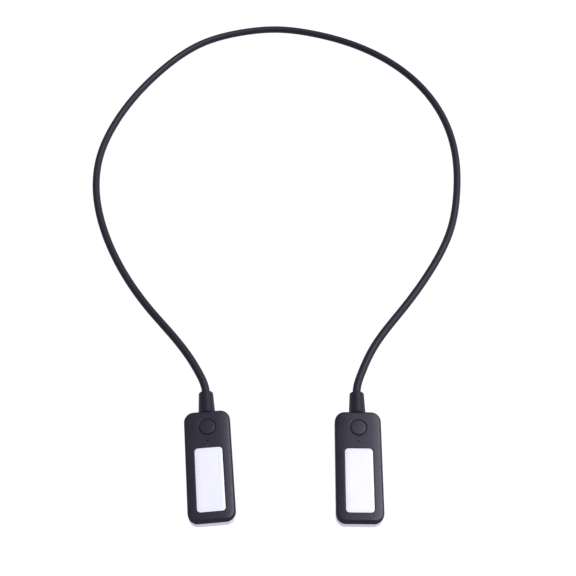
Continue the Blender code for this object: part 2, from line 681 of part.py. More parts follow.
def make_battery_lead(name, x, head, insulation):
    """An insulated lead from the cell's end up to the board's underside."""
    cell_end = -BATTERY_TOP + FIT_GAP + LEAD_RADIUS / 2
    cell_middle = REAR_WALL + FIT_GAP + BATTERY_THICKNESS / 2
    rise = BOARD_HEIGHT - FIT_GAP - cell_middle
    bend_shares = [(0.0, 0.0), (0.35, 0.02), (0.65, 0.15), (0.88, 0.45), (1.0, 0.75), (1.0, 1.0)]
    path = [Vector((x, cell_end + along * LEAD_RUN, cell_middle + up * rise)) for along, up in bend_shares]
    across = Vector((1.0, 0.0, 0.0))
    aheads = [Vector((0.0, 1.0, 0.0))]
    aheads += [(after - before).normalized() for before, after in zip(path, path[2:])]
    aheads.append(UP)
    circle = polygon_outline(LEAD_RADIUS, WIRE_SIDES)
    rings = []
    for point, ahead in zip(path, aheads):
        lift = across.cross(ahead)
        rings.append([point + across * spot.x + lift * spot.y for spot in circle])
    mesh = bmesh.new()
    loft(mesh, rings)
    return finish(name, mesh, head, insulation)


def make_battery_leads(side, head):
    """The cell's red and black leads, side by side."""
    make_battery_lead(f"{side}_battery_lead_red", LEAD_X, head, red_insulation())
    make_battery_lead(f"{side}_battery_lead_black", LEAD_X + LEAD_SPACING, head, stem_black())


def make_charging_socket(side, head):
    """Metal shell with long round ends, closed at the back, and the contact tongue inside it."""
    mouth = HEAD_WIDTH / 2 - SOCKET_RECESS
    back = mouth - SOCKET_DEPTH
    floor = back + 2 * SOCKET_SHELL
    rings = []
    for grow, x in ((0.0, back), (0.0, mouth), (-SOCKET_SHELL, mouth), (-SOCKET_SHELL, floor)):
        rings.append([point + Vector((x, 0.0, 0.0)) for point in socket_outline(grow)])
    mesh = bmesh.new()
    loft(mesh, rings)
    socket = finish(f"{side}_charging_socket", mesh, head, socket_steel())
    tongue = bmesh.new()
    block(tongue, (back + SOCKET_SHELL, mouth - SOCKET_TONGUE_SETBACK),
          (SOCKET_Y - SOCKET_TONGUE_WIDTH / 2, SOCKET_Y + SOCKET_TONGUE_WIDTH / 2),
          (SOCKET_MIDDLE_Z - SOCKET_TONGUE_THICKNESS / 2, SOCKET_MIDDLE_Z + SOCKET_TONGUE_THICKNESS / 2))
    combine(socket, tongue, "UNION")
    return socket


def make_cover_screws(side, head):
    """Two small pan-head screws, driven from the back."""
    under_head = SCREW_RECESS + SCREW_HEAD_HEIGHT
    profile = [(0.0, SCREW_RECESS), (SCREW_HEAD_RADIUS, SCREW_RECESS), (SCREW_HEAD_RADIUS, under_head),
               (SCREW_RADIUS, under_head), (SCREW_RADIUS, SCREW_TIP - SCREW_RADIUS),
               (SCREW_RADIUS / 2, SCREW_TIP), (0.0, SCREW_TIP)]
    for number, place in enumerate(screw_places(), start=1):
        mesh = bmesh.new()
        turned(mesh, profile, SMALL_SIDES, centre=place)
        finish(f"{side}_cover_screw_{number}", mesh, head, screw_steel())


def make_strain_relief(side, head):
    """Tapered boot: a lip outside the wall, a groove through it and a flange inside."""
    bore = SLEEVE_RADIUS + BOOT_BORE_CLEARANCE
    seat = -FRONT_WALL - FIT_GAP
    lip_top = FIT_GAP + BOOT_LIP_LENGTH
    shoulder = BOOT_MOUTH_ROUND / 3
    profile = [(bore, BOOT_LENGTH), (BOOT_TIP_RADIUS - BOOT_MOUTH_ROUND, BOOT_LENGTH),
               (BOOT_TIP_RADIUS - shoulder, BOOT_LENGTH - shoulder),
               (BOOT_TIP_RADIUS, BOOT_LENGTH - BOOT_MOUTH_ROUND),
               (BOOT_BASE_RADIUS, lip_top + BOOT_LIP_WIDTH),
               (BOOT_BASE_RADIUS + BOOT_LIP_WIDTH, lip_top), (BOOT_BASE_RADIUS + BOOT_LIP_WIDTH, FIT_GAP),
               (BOOT_GROOVE_RADIUS, FIT_GAP), (BOOT_GROOVE_RADIUS, seat), (BOOT_FLANGE_RADIUS, seat),
               (BOOT_FLANGE_RADIUS, BOOT_FLANGE_END), (bore, BOOT_FLANGE_END)]
    placing = Matrix.Translation((0.0, 0.0, NECK_AXIS_HEIGHT)) @ PLAN_TO_SIDE
    rings = []
    for radius, along in profile:
        circle = polygon_outline(radius, ROUND_SIDES)
        rings.append([placing @ (point.to_3d() + UP * along) for point in circle])
    mesh = bmesh.new()
    closed_loft(mesh, rings)
    return finish(f"{side}_strain_relief", mesh, head, boot_rubber())


def make_wire_ferrule(side, head):
    """Square crimped ferrule on the wire's end, which the saddle keeps from turning or pulling out."""
    bore = WIRE_RADIUS + SOLDER_GAP
    half = FERRULE_ACROSS_FLATS / 2
    placing = Matrix.Translation((0.0, 0.0, NECK_AXIS_HEIGHT)) @ PLAN_TO_SIDE
    outer = rounded_outline(2 * half, 2 * half, INNER_EDGE_RADIUS, steps=1)
    inner = polygon_outline(bore, len(outer), first_angle=math.radians(90) / len(outer))
    rings = []
    for outline, along in ((outer, FERRULE_FRONT), (outer, FERRULE_BACK), (inner, FERRULE_BACK),
                           (inner, FERRULE_FRONT)):
        rings.append([placing @ (point.to_3d() + UP * along) for point in outline])
    mesh = bmesh.new()
    closed_loft(mesh, rings)
    return finish(f"{side}_wire_ferrule", mesh, head, brass())


def make_head(side, head, button):
    """All the pieces of one lamp head."""
    for make in (make_rear_cover, make_front_shell, make_diffuser, make_circuit_board, make_switch,
                 make_light_pipe, make_battery, make_battery_leads, make_charging_socket,
                 make_cover_screws, make_strain_relief, make_wire_ferrule):
        make(side, head)
    for make in (make_button_cap, make_switch_stem):
        make(side, button)


# The neck's route

def smooth_curve(points, first_direction, last_direction, samples_per_span=40):
    """Cubic spline with even curvature through the points, with its end directions given."""
    points = np.array(points)
    spans = np.linalg.norm(np.diff(points, axis=0), axis=1)
    count = len(points)
    system = np.zeros((count, count))
    wanted = np.zeros((count, 2))
    system[0, 0] = system[-1, -1] = 1
    wanted[0] = first_direction
    wanted[-1] = last_direction
    for i in range(1, count - 1):
        before, after = spans[i - 1], spans[i]
        system[i, i - 1:i + 2] = after, 2 * (before + after), before
        wanted[i] = 3 * (after * (points[i] - points[i - 1]) / before
                         + before * (points[i + 1] - points[i]) / after)
    slopes = np.linalg.solve(system, wanted)
    curve = [points[0]]
    for i, span in enumerate(spans):
        for t in np.linspace(0, 1, samples_per_span + 1)[1:]:
            curve.append((1 + 2 * t) * (1 - t) ** 2 * points[i] + t * (1 - t) ** 2 * span * slopes[i]
                         + t * t * (3 - 2 * t) * points[i + 1] - t * t * (1 - t) * span * slopes[i + 1])
    return np.array(curve)


def head_direction(turn):
    """Unit vector from a head's free end towards its boot."""
    return np.array([-math.sin(turn), math.cos(turn)])


class Neck:
    """The neck's centre line, with lengths measured along it from either boot's mouth."""

    def __init__(self):
        self.directions = {"left": head_direction(LEFT_HEAD_TURN), "right": head_direction(RIGHT_HEAD_TURN)}
        places = {"left": np.array(LEFT_HEAD_PLACE), "right": np.array(RIGHT_HEAD_PLACE)}
        self.mouths = {side: places[side] + self.directions[side] * BOOT_LENGTH for side in places}
        route = [(x * LOOP_HALF_WIDTH, y * LOOP_LENGTH) for x, y in LOOP_ROUTE_SHARES]
        points = [self.mouths["left"], *route, self.mouths["right"]]
        self.curve = smooth_curve(points, self.directions["left"], -self.directions["right"])
        steps = np.linalg.norm(np.diff(self.curve, axis=0), axis=1)
        self.arcs = np.concatenate([[0.0], np.cumsum(steps)])
        self.length = self.arcs[-1]

    def height(self, along):
        """The neck leaves the head at its middle and settles onto the table."""
        share = min(max(along / NECK_SETTLE_LENGTH, 0.0), 1.0)
        drop = share * share * (3 - 2 * share)
        return NECK_AXIS_HEIGHT + (SLEEVE_RADIUS - NECK_AXIS_HEIGHT) * drop

    def point(self, side, along):
        """A place on the centre line, a length from that side's mouth; inside the boot it is straight."""
        if along < 0:
            spot = self.mouths[side] + self.directions[side] * along
            return Vector((*spot, NECK_AXIS_HEIGHT))
        arc = along if side == "left" else self.length - along
        x = np.interp(arc, self.arcs, self.curve[:, 0])
        y = np.interp(arc, self.arcs, self.curve[:, 1])
        return Vector((x, y, self.height(min(along, self.length - along))))

    def heading(self, side, along):
        """Unit vector along the neck there, away from that side's head."""
        reach = FINE_RING_SPACING / 4
        return (self.point(side, along + reach) - self.point(side, along - reach)).normalized()

    def widest(self, side):
        """Length from the mouth to where that side of the loop is widest."""
        sign = -1 if side == "left" else 1
        arc = self.arcs[int(np.argmax(sign * self.curve[:, 0]))]
        return arc if side == "left" else self.length - arc


def neck_zones(neck, side):
    """Names of that side's stretches of neck, and the lengths along it where each one starts."""
    fold_start = neck.widest(side) - FOLD_ZONE_LENGTH / 2
    starts = [("end", -BOOT_LENGTH - SLEEVE_TAIL), ("twist", TWIST_ZONE_START),
              ("tilt", TWIST_ZONE_START + TWIST_ZONE_LENGTH)]
    starts.append(("arm", starts[-1][1] + TILT_ZONE_LENGTH))
    starts.append(("fold", fold_start))
    starts.append(("spread", fold_start + FOLD_ZONE_LENGTH))
    starts.append(("back", fold_start + FOLD_ZONE_LENGTH + SPREAD_ZONE_LENGTH))
    return starts


def ring_stations(start, end, spacing):
    """Even places from start to end, no further apart than the spacing."""
    count = max(1, math.ceil((end - start) / spacing))
    return [start + (end - start) * step / count for step in range(count + 1)]


def neck_ring(neck, side, along, radius, sides):
    """A ring of points round the centre line, with its lowest point straight below."""
    middle = neck.point(side, along)
    ahead = neck.heading(side, along)
    across = ahead.cross(UP).normalized()
    lift = across.cross(ahead)
    circle = polygon_outline(radius, sides, first_angle=math.radians(-90))
    return [middle + across * spot.x + lift * spot.y for spot in circle]


def make_sleeve(neck, name, side, start, end, spacing, parent):
    """A stretch of the silicone sleeve, with its bore."""
    stations = ring_stations(start + PIECE_GAP / 2, end - PIECE_GAP / 2, spacing)
    rings = [neck_ring(neck, side, along, SLEEVE_RADIUS, NECK_SIDES) for along in stations]
    rings += [neck_ring(neck, side, along, SLEEVE_BORE_RADIUS, NECK_SIDES) for along in reversed(stations)]
    mesh = bmesh.new()
    closed_loft(mesh, rings)
    return finish(name, mesh, parent, silicone(), -Vector(parent["place"]))


def make_wire(neck, name, side, start, end, spacing, parent):
    """A stretch of the soft wire that keeps the neck's shape."""
    stations = ring_stations(start + PIECE_GAP / 2, end - PIECE_GAP / 2, spacing)
    mesh = bmesh.new()
    loft(mesh, [neck_ring(neck, side, along, WIRE_RADIUS, WIRE_SIDES) for along in stations])
    return finish(name, mesh, parent, wire_metal(), -Vector(parent["place"]))


def make_side(neck, side, root):
    """One side of the neck from the back arc to its head, on a chain of joint axes."""
    zones = dict(neck_zones(neck, side))
    order = list(zones)
    middles = {name: (zones[name] + zones[after]) / 2 for name, after in zip(order, order[1:])}
    spread = guide(f"{side}_spread_axis", neck.point(side, middles["spread"]), root)
    fold = guide(f"{side}_fold_axis", neck.point(side, middles["fold"]), spread)
    tilt = guide(f"{side}_tilt_axis", neck.point(side, middles["tilt"]), fold)
    twist = guide(f"{side}_twist_axis", neck.point(side, middles["twist"]), tilt)
    carriers = {"end": twist, "twist": tilt, "tilt": fold, "arm": fold, "fold": spread, "spread": root}
    for name, after in zip(order, order[1:]):
        spacing = FINE_RING_SPACING if name in ("twist", "tilt") else RING_SPACING
        make_sleeve(neck, f"{side}_neck_sleeve_{name}", side, zones[name], zones[after], spacing,
                    carriers[name])
        start = FERRULE_BACK - BOOT_LENGTH + PIECE_GAP if name == "end" else zones[name]
        make_wire(neck, f"{side}_neck_wire_{name}", side, start, zones[after], spacing, carriers[name])

    place = neck.point(side, -BOOT_LENGTH) - UP * NECK_AXIS_HEIGHT
    turn = LEFT_HEAD_TURN if side == "left" else RIGHT_HEAD_TURN
    head = guide(f"{side}_head_origin", place, twist, turn)
    button = bpy.data.objects.new(f"{side}_button_axis", None)
    button.parent = head
    button.location = (0.0, BUTTON_Y, HEAD_THICKNESS)
    bpy.context.scene.collection.objects.link(button)
    make_head(side, head, button)
    return middles


def centre_on_base(root):
    """Move the whole light so that its box stands on z = 0, centred on the origin."""
    bpy.context.view_layer.update()
    points = [thing.matrix_world @ vertex.co for thing in bpy.data.objects
              if thing.type == "MESH" and not thing.hide_render for vertex in thing.data.vertices]
    low = Vector(min(point[axis] for point in points) for axis in range(3))
    high = Vector(max(point[axis] for point in points) for axis in range(3))
    root.location -= Vector(((low.x + high.x) / 2, (low.y + high.y) / 2, low.z))
    bpy.context.view_layer.update()
    return high - low


def report_axes(neck, middles):
    """Print each joint's place, with the neck's direction there, away from its head."""
    for side, found in middles.items():
        for joint in ("spread", "fold", "tilt", "twist"):
            place = bpy.data.objects[f"{side}_{joint}_axis"].matrix_world.translation
            ahead = neck.heading(side, found[joint])
            print("axis", side, joint, [round(v, 6) for v in place], [round(v, 6) for v in ahead])
        for name in ("button_axis", "head_origin"):
            place = bpy.data.objects[f"{side}_{name}"].matrix_world.translation
            print("place", side, name, [round(v, 6) for v in place])


def build():
    clear_scene()
    neck = Neck()
    root = guide("neck_reading_light", (0.0, 0.0, 0.0))
    middles = {side: make_side(neck, side, root) for side in ("left", "right")}
    start = dict(neck_zones(neck, "left"))["back"]
    end = neck.length - dict(neck_zones(neck, "right"))["back"]
    make_sleeve(neck, "neck_sleeve_back", "left", start, end, RING_SPACING, root)
    make_wire(neck, "neck_wire_back", "left", start, end, RING_SPACING, root)
    size = centre_on_base(root)
    print("overall size", [round(value, 5) for value in size])
    print("neck length from mouth to mouth", round(neck.length, 4))
    report_axes(neck, middles)


build()
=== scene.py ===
# %% [markdown]
# A neck reading light is one bendable neck with a slim lamp head on each end. It hangs round the
# reader's neck like a collar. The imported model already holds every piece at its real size. This
# lesson gives the pieces that show a smooth, finished form, gives every piece a finish, and sets
# it over a pale table in soft studio light.

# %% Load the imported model
import math

import bmesh
import bpy
import numpy as np
from mathutils import Matrix, Vector
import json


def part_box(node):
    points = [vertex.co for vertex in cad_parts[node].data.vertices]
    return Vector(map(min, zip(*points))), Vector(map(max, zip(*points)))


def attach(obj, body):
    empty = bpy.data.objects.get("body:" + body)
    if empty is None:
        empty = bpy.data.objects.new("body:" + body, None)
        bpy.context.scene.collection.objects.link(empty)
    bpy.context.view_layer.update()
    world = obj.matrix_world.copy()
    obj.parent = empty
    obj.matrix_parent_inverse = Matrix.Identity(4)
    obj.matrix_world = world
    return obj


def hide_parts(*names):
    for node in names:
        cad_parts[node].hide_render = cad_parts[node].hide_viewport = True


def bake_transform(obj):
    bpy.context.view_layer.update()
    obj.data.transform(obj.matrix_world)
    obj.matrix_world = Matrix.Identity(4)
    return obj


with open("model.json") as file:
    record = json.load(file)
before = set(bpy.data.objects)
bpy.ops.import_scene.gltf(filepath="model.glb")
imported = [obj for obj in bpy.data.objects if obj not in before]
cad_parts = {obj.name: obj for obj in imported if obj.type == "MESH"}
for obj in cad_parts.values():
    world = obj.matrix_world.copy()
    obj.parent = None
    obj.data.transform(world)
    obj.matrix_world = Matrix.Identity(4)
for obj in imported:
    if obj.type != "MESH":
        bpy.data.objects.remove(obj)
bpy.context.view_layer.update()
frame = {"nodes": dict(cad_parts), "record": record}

SIDES = ("left", "right")

# %% [markdown]
# The camera comes first, because everything else is judged through it. A long lens held well
# above the table shows both heads at nearly one scale, with only a little of the walls that face
# the viewer. The camera could be aimed by a constraint, but a plain place and a plain tilt are
# easier to read and to check.

# %% Camera
CAMERA_PLACE, CAMERA_TILT = (0.00727, -0.33852, 0.527), math.radians(30)
CAMERA_LENS, CAMERA_SENSOR = 60.94, 36.0


def new_object(name, data):
    """An object with that data, linked into the scene."""
    made = bpy.data.objects.new(name, data)
    bpy.context.scene.collection.objects.link(made)
    return made


lens = bpy.data.cameras.new("studio_camera")
lens.lens, lens.sensor_width = CAMERA_LENS, CAMERA_SENSOR
camera = new_object("studio_camera", lens)
camera.location, camera.rotation_euler = CAMERA_PLACE, (CAMERA_TILT, 0.0, 0.0)
bpy.context.scene.camera = camera
print("camera stands", round(Vector(CAMERA_PLACE).length, 3), "m from the middle of the light")

# %% [markdown]
# A node tree is a list of nodes and the links between them. One small helper makes a node, sets
# its options and fills its inputs, either with a value or with a link from another node. A few
# more stand for the steps that every finish repeats. They keep each material short enough to read
# as a recipe, and every finish is kept by its name, so that the pieces can ask for it.

# %% Helpers for node trees
FINISHES = {}


def add(tree, kind, inputs=None, **options):
    """Makes a node. An input takes a value, or a link when it is given an output socket."""
    made = tree.nodes.new(kind)
    for name, value in options.items():
        setattr(made, name, value)
    for name, value in (inputs or {}).items():
        if isinstance(value, bpy.types.NodeSocket):
            tree.links.new(value, made.inputs[name])
        else:
            made.inputs[name].default_value = value
    return made


def calculate(tree, operation, *terms):
    return add(tree, "ShaderNodeMath", dict(enumerate(terms)), operation=operation).outputs[0]


def ranged(tree, value, low, high):
    """A mask from 0 to 1, laid out between two values."""
    spread = add(tree, "ShaderNodeMapRange", {"Value": value, "To Min": low, "To Max": high})
    return spread.outputs["Result"]


def two_colours(tree, mask, first, second):
    mix = add(tree, "ShaderNodeMix", data_type="RGBA")
    tree.links.new(mask, mix.inputs["Factor"])
    ends = [socket for socket in mix.inputs if socket.type == "RGBA"]
    for socket, colour in zip(ends, (first, second)):
        socket.default_value = (*colour, 1.0)
    return next(socket for socket in mix.outputs if socket.type == "RGBA")


def new_material(name):
    """A material with nothing in its tree yet, kept under its name."""
    made = bpy.data.materials.new(name)
    made.use_nodes = True
    made.node_tree.nodes.clear()
    FINISHES[name] = made
    return made.node_tree


def end_material(tree, shader):
    add(tree, "ShaderNodeOutputMaterial", {"Surface": shader.outputs[0]})


def dress(tree, colour, roughness, height=None, depth=0.0, **even):
    """Ends a finish: colour, roughness and bump, and what is even all over on the shader itself."""
    inputs = {"Base Color": colour, "Roughness": roughness}
    if height is not None:
        bump = add(tree, "ShaderNodeBump", {"Height": height, "Distance": depth})
        inputs["Normal"] = bump.outputs["Normal"]
    inputs.update({name.replace("_", " "): value for name, value in even.items()})
    end_material(tree, add(tree, "ShaderNodeBsdfPrincipled", inputs))


# %% [markdown]
# The table is plain and white. A white card under soft lamps renders a little grey, and more lamp
# light would bleach the object too. So the floor glows, for the eye and for reflections alone: the
# light on the object stays plain, and the floor still takes the object's shadow. To the eye the
# card under the glow is a darker one, so that both together come to plain white and no more. A
# floor brighter than white would eat into the thin black neck's edges. The neck can be bent until
# a head hangs down, as it does on a reader's chest, so the white lies well below the light, where
# no bend reaches it, and every bend can be seen whole.

# %% Table and surroundings
FLOOR_SIZE, FLOOR_DROP = 40.0, 0.25
FLOOR_WHITE, FLOOR_UNDER_GLOW = (0.78, 0.78, 0.78), (0.25, 0.25, 0.25)
FLOOR_GLOW, FLOOR_GLOW_IN_REFLECTIONS = 0.78, 0.12
ROOM_LEVEL, ROOM_COLOUR = 0.36, (0.93, 0.89, 1.13, 1.0)


def floor_material():
    tree = new_material("table_white")
    ray = add(tree, "ShaderNodeLightPath").outputs
    mirrored = calculate(tree, "MAXIMUM", ray["Is Glossy Ray"], ray["Is Transmission Ray"])
    softer = calculate(tree, "MULTIPLY", mirrored, FLOOR_GLOW_IN_REFLECTIONS)
    level = calculate(tree, "MULTIPLY_ADD", ray["Is Camera Ray"], FLOOR_GLOW, softer)
    colour = two_colours(tree, ray["Is Camera Ray"], FLOOR_WHITE, FLOOR_UNDER_GLOW)
    card = add(tree, "ShaderNodeBsdfDiffuse", {"Color": colour})
    glow = add(tree, "ShaderNodeEmission", {"Strength": level})
    end_material(tree, add(tree, "ShaderNodeAddShader", {0: card.outputs[0], 1: glow.outputs[0]}))


floor_material()
corners = [Vector((x * FLOOR_SIZE / 2, y * FLOOR_SIZE / 2, -FLOOR_DROP))
           for x, y in ((-1, -1), (1, -1), (1, 1), (-1, 1))]
floor_mesh = bpy.data.meshes.new("table")
floor_mesh.from_pydata(corners, [], [(0, 1, 2, 3)])
floor_mesh.materials.append(FINISHES["table_white"])
floor = new_object("table", floor_mesh)

world = bpy.data.worlds.new("studio")
world.use_nodes = True
room = world.node_tree.nodes["Background"].inputs
room["Color"].default_value, room["Strength"].default_value = ROOM_COLOUR, ROOM_LEVEL
bpy.context.scene.world = world
bpy.context.scene.view_settings.view_transform = "Standard"
print("floor", FLOOR_SIZE, "m wide,", FLOOR_DROP, "m below the light")

# %% [markdown]
# Black plastic is drawn by what it reflects. One wide soft box stands high on the right, so each
# form that leans that way shows a soft grey band, and the forms that lean left stay dark. It is
# far off, so that both heads meet it at nearly the same angle; the room's even light does the
# rest. Point lamps would be simpler, but their small hard glints look nothing like a studio.

# %% Studio lamp
BOX_PLACE, BOX_AIM = Vector((1.65, 0.50, 2.85)), Vector((0.0, -0.02, 0.0))
BOX_SIZE, BOX_POWER, BOX_COLOUR = 2.25, 125.0, (0.97, 0.93, 1.10)

lamp = bpy.data.lights.new("side_soft_box", "AREA")
lamp.shape = "RECTANGLE"
lamp.size = lamp.size_y = BOX_SIZE
lamp.energy, lamp.color = BOX_POWER, BOX_COLOUR
stand = new_object("side_soft_box", lamp)
stand.location = BOX_PLACE
stand.rotation_euler = (BOX_AIM - BOX_PLACE).to_track_quat("-Z", "Y").to_euler()
print("soft box", round(BOX_PLACE.length, 2), "m away")

# %% [markdown]
# Moulded plastic and silicone are never perfectly smooth. The mould's own fine grain shows as a
# soft break-up of every highlight. It could be painted into each material by hand, but all of
# them share it, so it is a node group: give it a place and a grain size, and it gives back a
# height for a Bump node.

# %% Shader group: the mould's grain
GRAIN_DETAIL = 2.0


def new_group(name, measure, output):
    """An empty shader group that takes a place and one measure, and gives back one mask."""
    group = bpy.data.node_groups.new(name, "ShaderNodeTree")
    for label, way, kind in (("Place", "INPUT", "Vector"), (measure, "INPUT", "Float"),
                             (output, "OUTPUT", "Float")):
        group.interface.new_socket(label, in_out=way, socket_type="NodeSocket" + kind)
    return group, add(group, "NodeGroupInput").outputs


def end_group(group, value):
    add(group, "NodeGroupOutput", {0: value})
    return group


def noise(tree, place, scale, detail, distortion=0.0):
    return add(tree, "ShaderNodeTexNoise", {"Vector": place, "Scale": scale, "Detail": detail,
                                            "Distortion": distortion}).outputs["Fac"]


def make_grain_group():
    group, given = new_group("mould_grain", "Grain", "Height")
    scale = calculate(group, "DIVIDE", 1.0, given["Grain"])
    fine = noise(group, given["Place"], scale, GRAIN_DETAIL)
    pits = add(group, "ShaderNodeTexVoronoi", {"Vector": given["Place"], "Scale": scale})
    return end_group(group, calculate(group, "MULTIPLY", fine, pits.outputs["Distance"]))


MOULD_GRAIN = make_grain_group()

# %% [markdown]
# Two slower changes sit on top of the grain. Plastic flows into its mould in faint clouds, and
# hands leave the raised edges a touch smoother than the flats. Both are masks from 0 to 1, and
# each material decides what they do to its colour and roughness. The rubbed edge is read from an
# attribute that the mesh code writes, because it knows exactly where the edges are.

# %% Shader groups: flow clouds and rubbed edges
CLOUD_DETAIL, CLOUD_DISTORTION, CLOUD_SPAN = 4.0, 0.8, (0.3, 0.7)
RUB_SCALE, RUB_DETAIL, RUB_SPAN = 400.0, 3.0, (0.35, 0.65)


def widened(tree, value, low, high):
    """What a value does between two levels, widened to run from 0 to 1."""
    wide = add(tree, "ShaderNodeMapRange", {"Value": value, "From Min": low, "From Max": high})
    return wide.outputs["Result"]


def make_cloud_group():
    group, given = new_group("flow_clouds", "Size", "Cloud")
    scale = calculate(group, "DIVIDE", 1.0, given["Size"])
    slow = noise(group, given["Place"], scale, CLOUD_DETAIL, CLOUD_DISTORTION)
    return end_group(group, widened(group, slow, *CLOUD_SPAN))


def make_rub_group():
    group, given = new_group("rubbed_edge", "Edge", "Rub")
    patches = noise(group, given["Place"], RUB_SCALE, RUB_DETAIL)
    return end_group(group, calculate(group, "MULTIPLY", widened(group, patches, *RUB_SPAN), given["Edge"]))


FLOW_CLOUDS = make_cloud_group()
RUBBED_EDGE = make_rub_group()

# %% [markdown]
# One recipe serves everything that is moulded: the casings, the button, the boots and the
# silicone neck. Only its values differ. The clouds shift the colour and the roughness a little,
# rubbed edges come out smoother, and the grain goes through a Bump node. A mould's side walls are
# often left matt while its face is finer, so a second attribute says where the walls are, and they
# come out rough. Stiff pieces read their own Object coordinates. The neck bends, so it reads a
# stored resting place instead, and its grain stays on the surface when it moves.

# %% Material recipe: moulded pieces
def attribute(tree, name, socket="Fac"):
    return add(tree, "ShaderNodeAttribute", attribute_name=name).outputs[socket]


def place_socket(tree, stored=False):
    """The coordinates that a pattern is laid on: the object's own, or a stored resting place."""
    if stored:
        return attribute(tree, "rest_place", "Vector")
    return add(tree, "ShaderNodeTexCoord").outputs["Object"]


def mask(tree, group, inputs):
    return add(tree, "ShaderNodeGroup", inputs, node_tree=group).outputs[0]


def moulded(name, dark, light, rough, grain, depth, specular=0.5, on_walls=0.0, rubbed=0.0,
            clouds=0.012, stored=False):
    """A moulded finish between two close colours and two close roughnesses."""
    tree = new_material(name)
    place = place_socket(tree, stored)
    cloud = mask(tree, FLOW_CLOUDS, {"Place": place, "Size": clouds})
    rub = mask(tree, RUBBED_EDGE, {"Place": place, "Edge": attribute(tree, "edge")})
    height = mask(tree, MOULD_GRAIN, {"Place": place, "Grain": grain})
    lost = calculate(tree, "MULTIPLY", rub, rubbed)
    roughness = calculate(tree, "SUBTRACT", ranged(tree, cloud, *rough), lost)
    matt = calculate(tree, "MULTIPLY", attribute(tree, "wall"), on_walls)
    dress(tree, two_colours(tree, cloud, dark, light), calculate(tree, "MAXIMUM", roughness, matt),
          height, depth, Specular_IOR_Level=specular)


moulded("black_plastic", (0.016, 0.0150, 0.0215), (0.020, 0.0188, 0.0270), (0.35, 0.41),
        0.00022, 0.000010, specular=0.28, on_walls=1.0, rubbed=0.10)
moulded("button_plastic", (0.017, 0.0160, 0.0230), (0.021, 0.0198, 0.0285), (0.33, 0.39),
        0.00016, 0.000006, specular=0.28, rubbed=0.08)
moulded("white_plastic", (0.94, 0.95, 0.935), (0.96, 0.97, 0.955), (0.34, 0.42),
        0.00025, 0.000004, rubbed=0.08)
moulded("silicone", (0.0092, 0.0091, 0.0128), (0.012, 0.0118, 0.0166), (0.50, 0.60),
        0.00030, 0.000014, specular=0.34, clouds=0.020, stored=True)
moulded("boot_rubber", (0.009, 0.0087, 0.012), (0.011, 0.0106, 0.015), (0.48, 0.58),
        0.00028, 0.000014, specular=0.32, rubbed=0.06)
print("finishes so far", sorted(FINISHES))

# %% [markdown]
# The lamp window is milky plastic. It scatters the light of the small lamps behind it, so it
# looks evenly white even when they are off. Real glass shaders would show the dark board through
# it. A nearly white, satin surface with the faintest lens texture reads right from any side. Two
# faint lines of painted shade run round it, near its edge. They follow the panel's edge, so its
# mesh says where they are, by an attribute, and the recipe only darkens them a little.

# %% Material: the milky window
# The second colour is painted shade, for the two faint lines round the window.
WINDOW_WHITE, WINDOW_SHADE_LINE = (0.818, 0.853, 0.822), (0.72, 0.75, 0.727)
WINDOW_TONE, WINDOW_ROUGH = (0.7, 1.0), (0.30, 0.36)
LENS_TEXTURE, LENS_DEPTH, LENSES_PER_CLOUD = 0.00035, 0.000005, 40


def milky_plastic():
    tree = new_material("milky_plastic")
    place = place_socket(tree)
    cloud = mask(tree, FLOW_CLOUDS, {"Place": place, "Size": LENS_TEXTURE * LENSES_PER_CLOUD})
    height = mask(tree, MOULD_GRAIN, {"Place": place, "Grain": LENS_TEXTURE})
    # The stored line attribute darkens the colour there, as painted shade.
    shown = calculate(tree, "SUBTRACT", ranged(tree, cloud, *WINDOW_TONE), attribute(tree, "frame_line"))
    dress(tree, two_colours(tree, shown, WINDOW_SHADE_LINE, WINDOW_WHITE), ranged(tree, cloud, *WINDOW_ROUGH),
          height, LENS_DEPTH)


milky_plastic()

# %% [markdown]
# Metal pieces are small here: screws, the charging socket, the crimped ferrule and the soft wire
# inside the neck. Drawn and plated metal differs mainly in colour and in how its fine lines run.
# One recipe stretches a noise along one axis for the drawn lines, and lets it change roughness
# and height together.

# %% Material recipe: metals
LINE_DEPTH, LINE_SHADE, LINE_ROUGH, LINE_DETAIL = 0.000006, 0.88, 0.06, 3.0


def metal(name, colour, rough, stretch=(1.0, 1.0, 1.0), line=0.0003, stored=False):
    """A metal whose fine lines are stretched by a share along each axis."""
    tree = new_material(name)
    drawn = add(tree, "ShaderNodeMapping", {"Vector": place_socket(tree, stored), "Scale": stretch})
    lines = noise(tree, drawn.outputs["Vector"], 1 / line, LINE_DETAIL)
    dress(tree, two_colours(tree, lines, [LINE_SHADE * c for c in colour], colour),
          ranged(tree, lines, rough - LINE_ROUGH, rough + LINE_ROUGH), lines, LINE_DEPTH, Metallic=1.0)


metal("wire_metal", (0.62, 0.62, 0.64), 0.34, (1.0, 0.15, 1.0), stored=True)
metal("brass", (0.75, 0.58, 0.28), 0.34)
metal("screw_steel", (0.45, 0.45, 0.47), 0.36)
metal("socket_steel", (0.68, 0.68, 0.70), 0.28, (0.2, 1.0, 1.0))
metal("switch_metal", (0.60, 0.60, 0.62), 0.34)
metal("contact_gold", (0.83, 0.62, 0.28), 0.26, line=0.0001)
print("finishes so far", len(FINISHES))

# %% [markdown]
# Most pieces are walls swept round an outline, so two outlines do nearly all the work: a rectangle
# with round corners, and a circle. A loft joins rings of such points into a skin. It could be
# extruded and bevelled by hand, but rings put every edge loop exactly where the form turns, and
# that is what makes a rounded edge catch the light cleanly.

# %% Outlines and lofts
CORNER_STEPS, LONG_STEPS, SHORT_STEPS = 12, 26, 12
SHARP_ANGLE = math.radians(35)
UP = Vector((0.0, 0.0, 1.0))


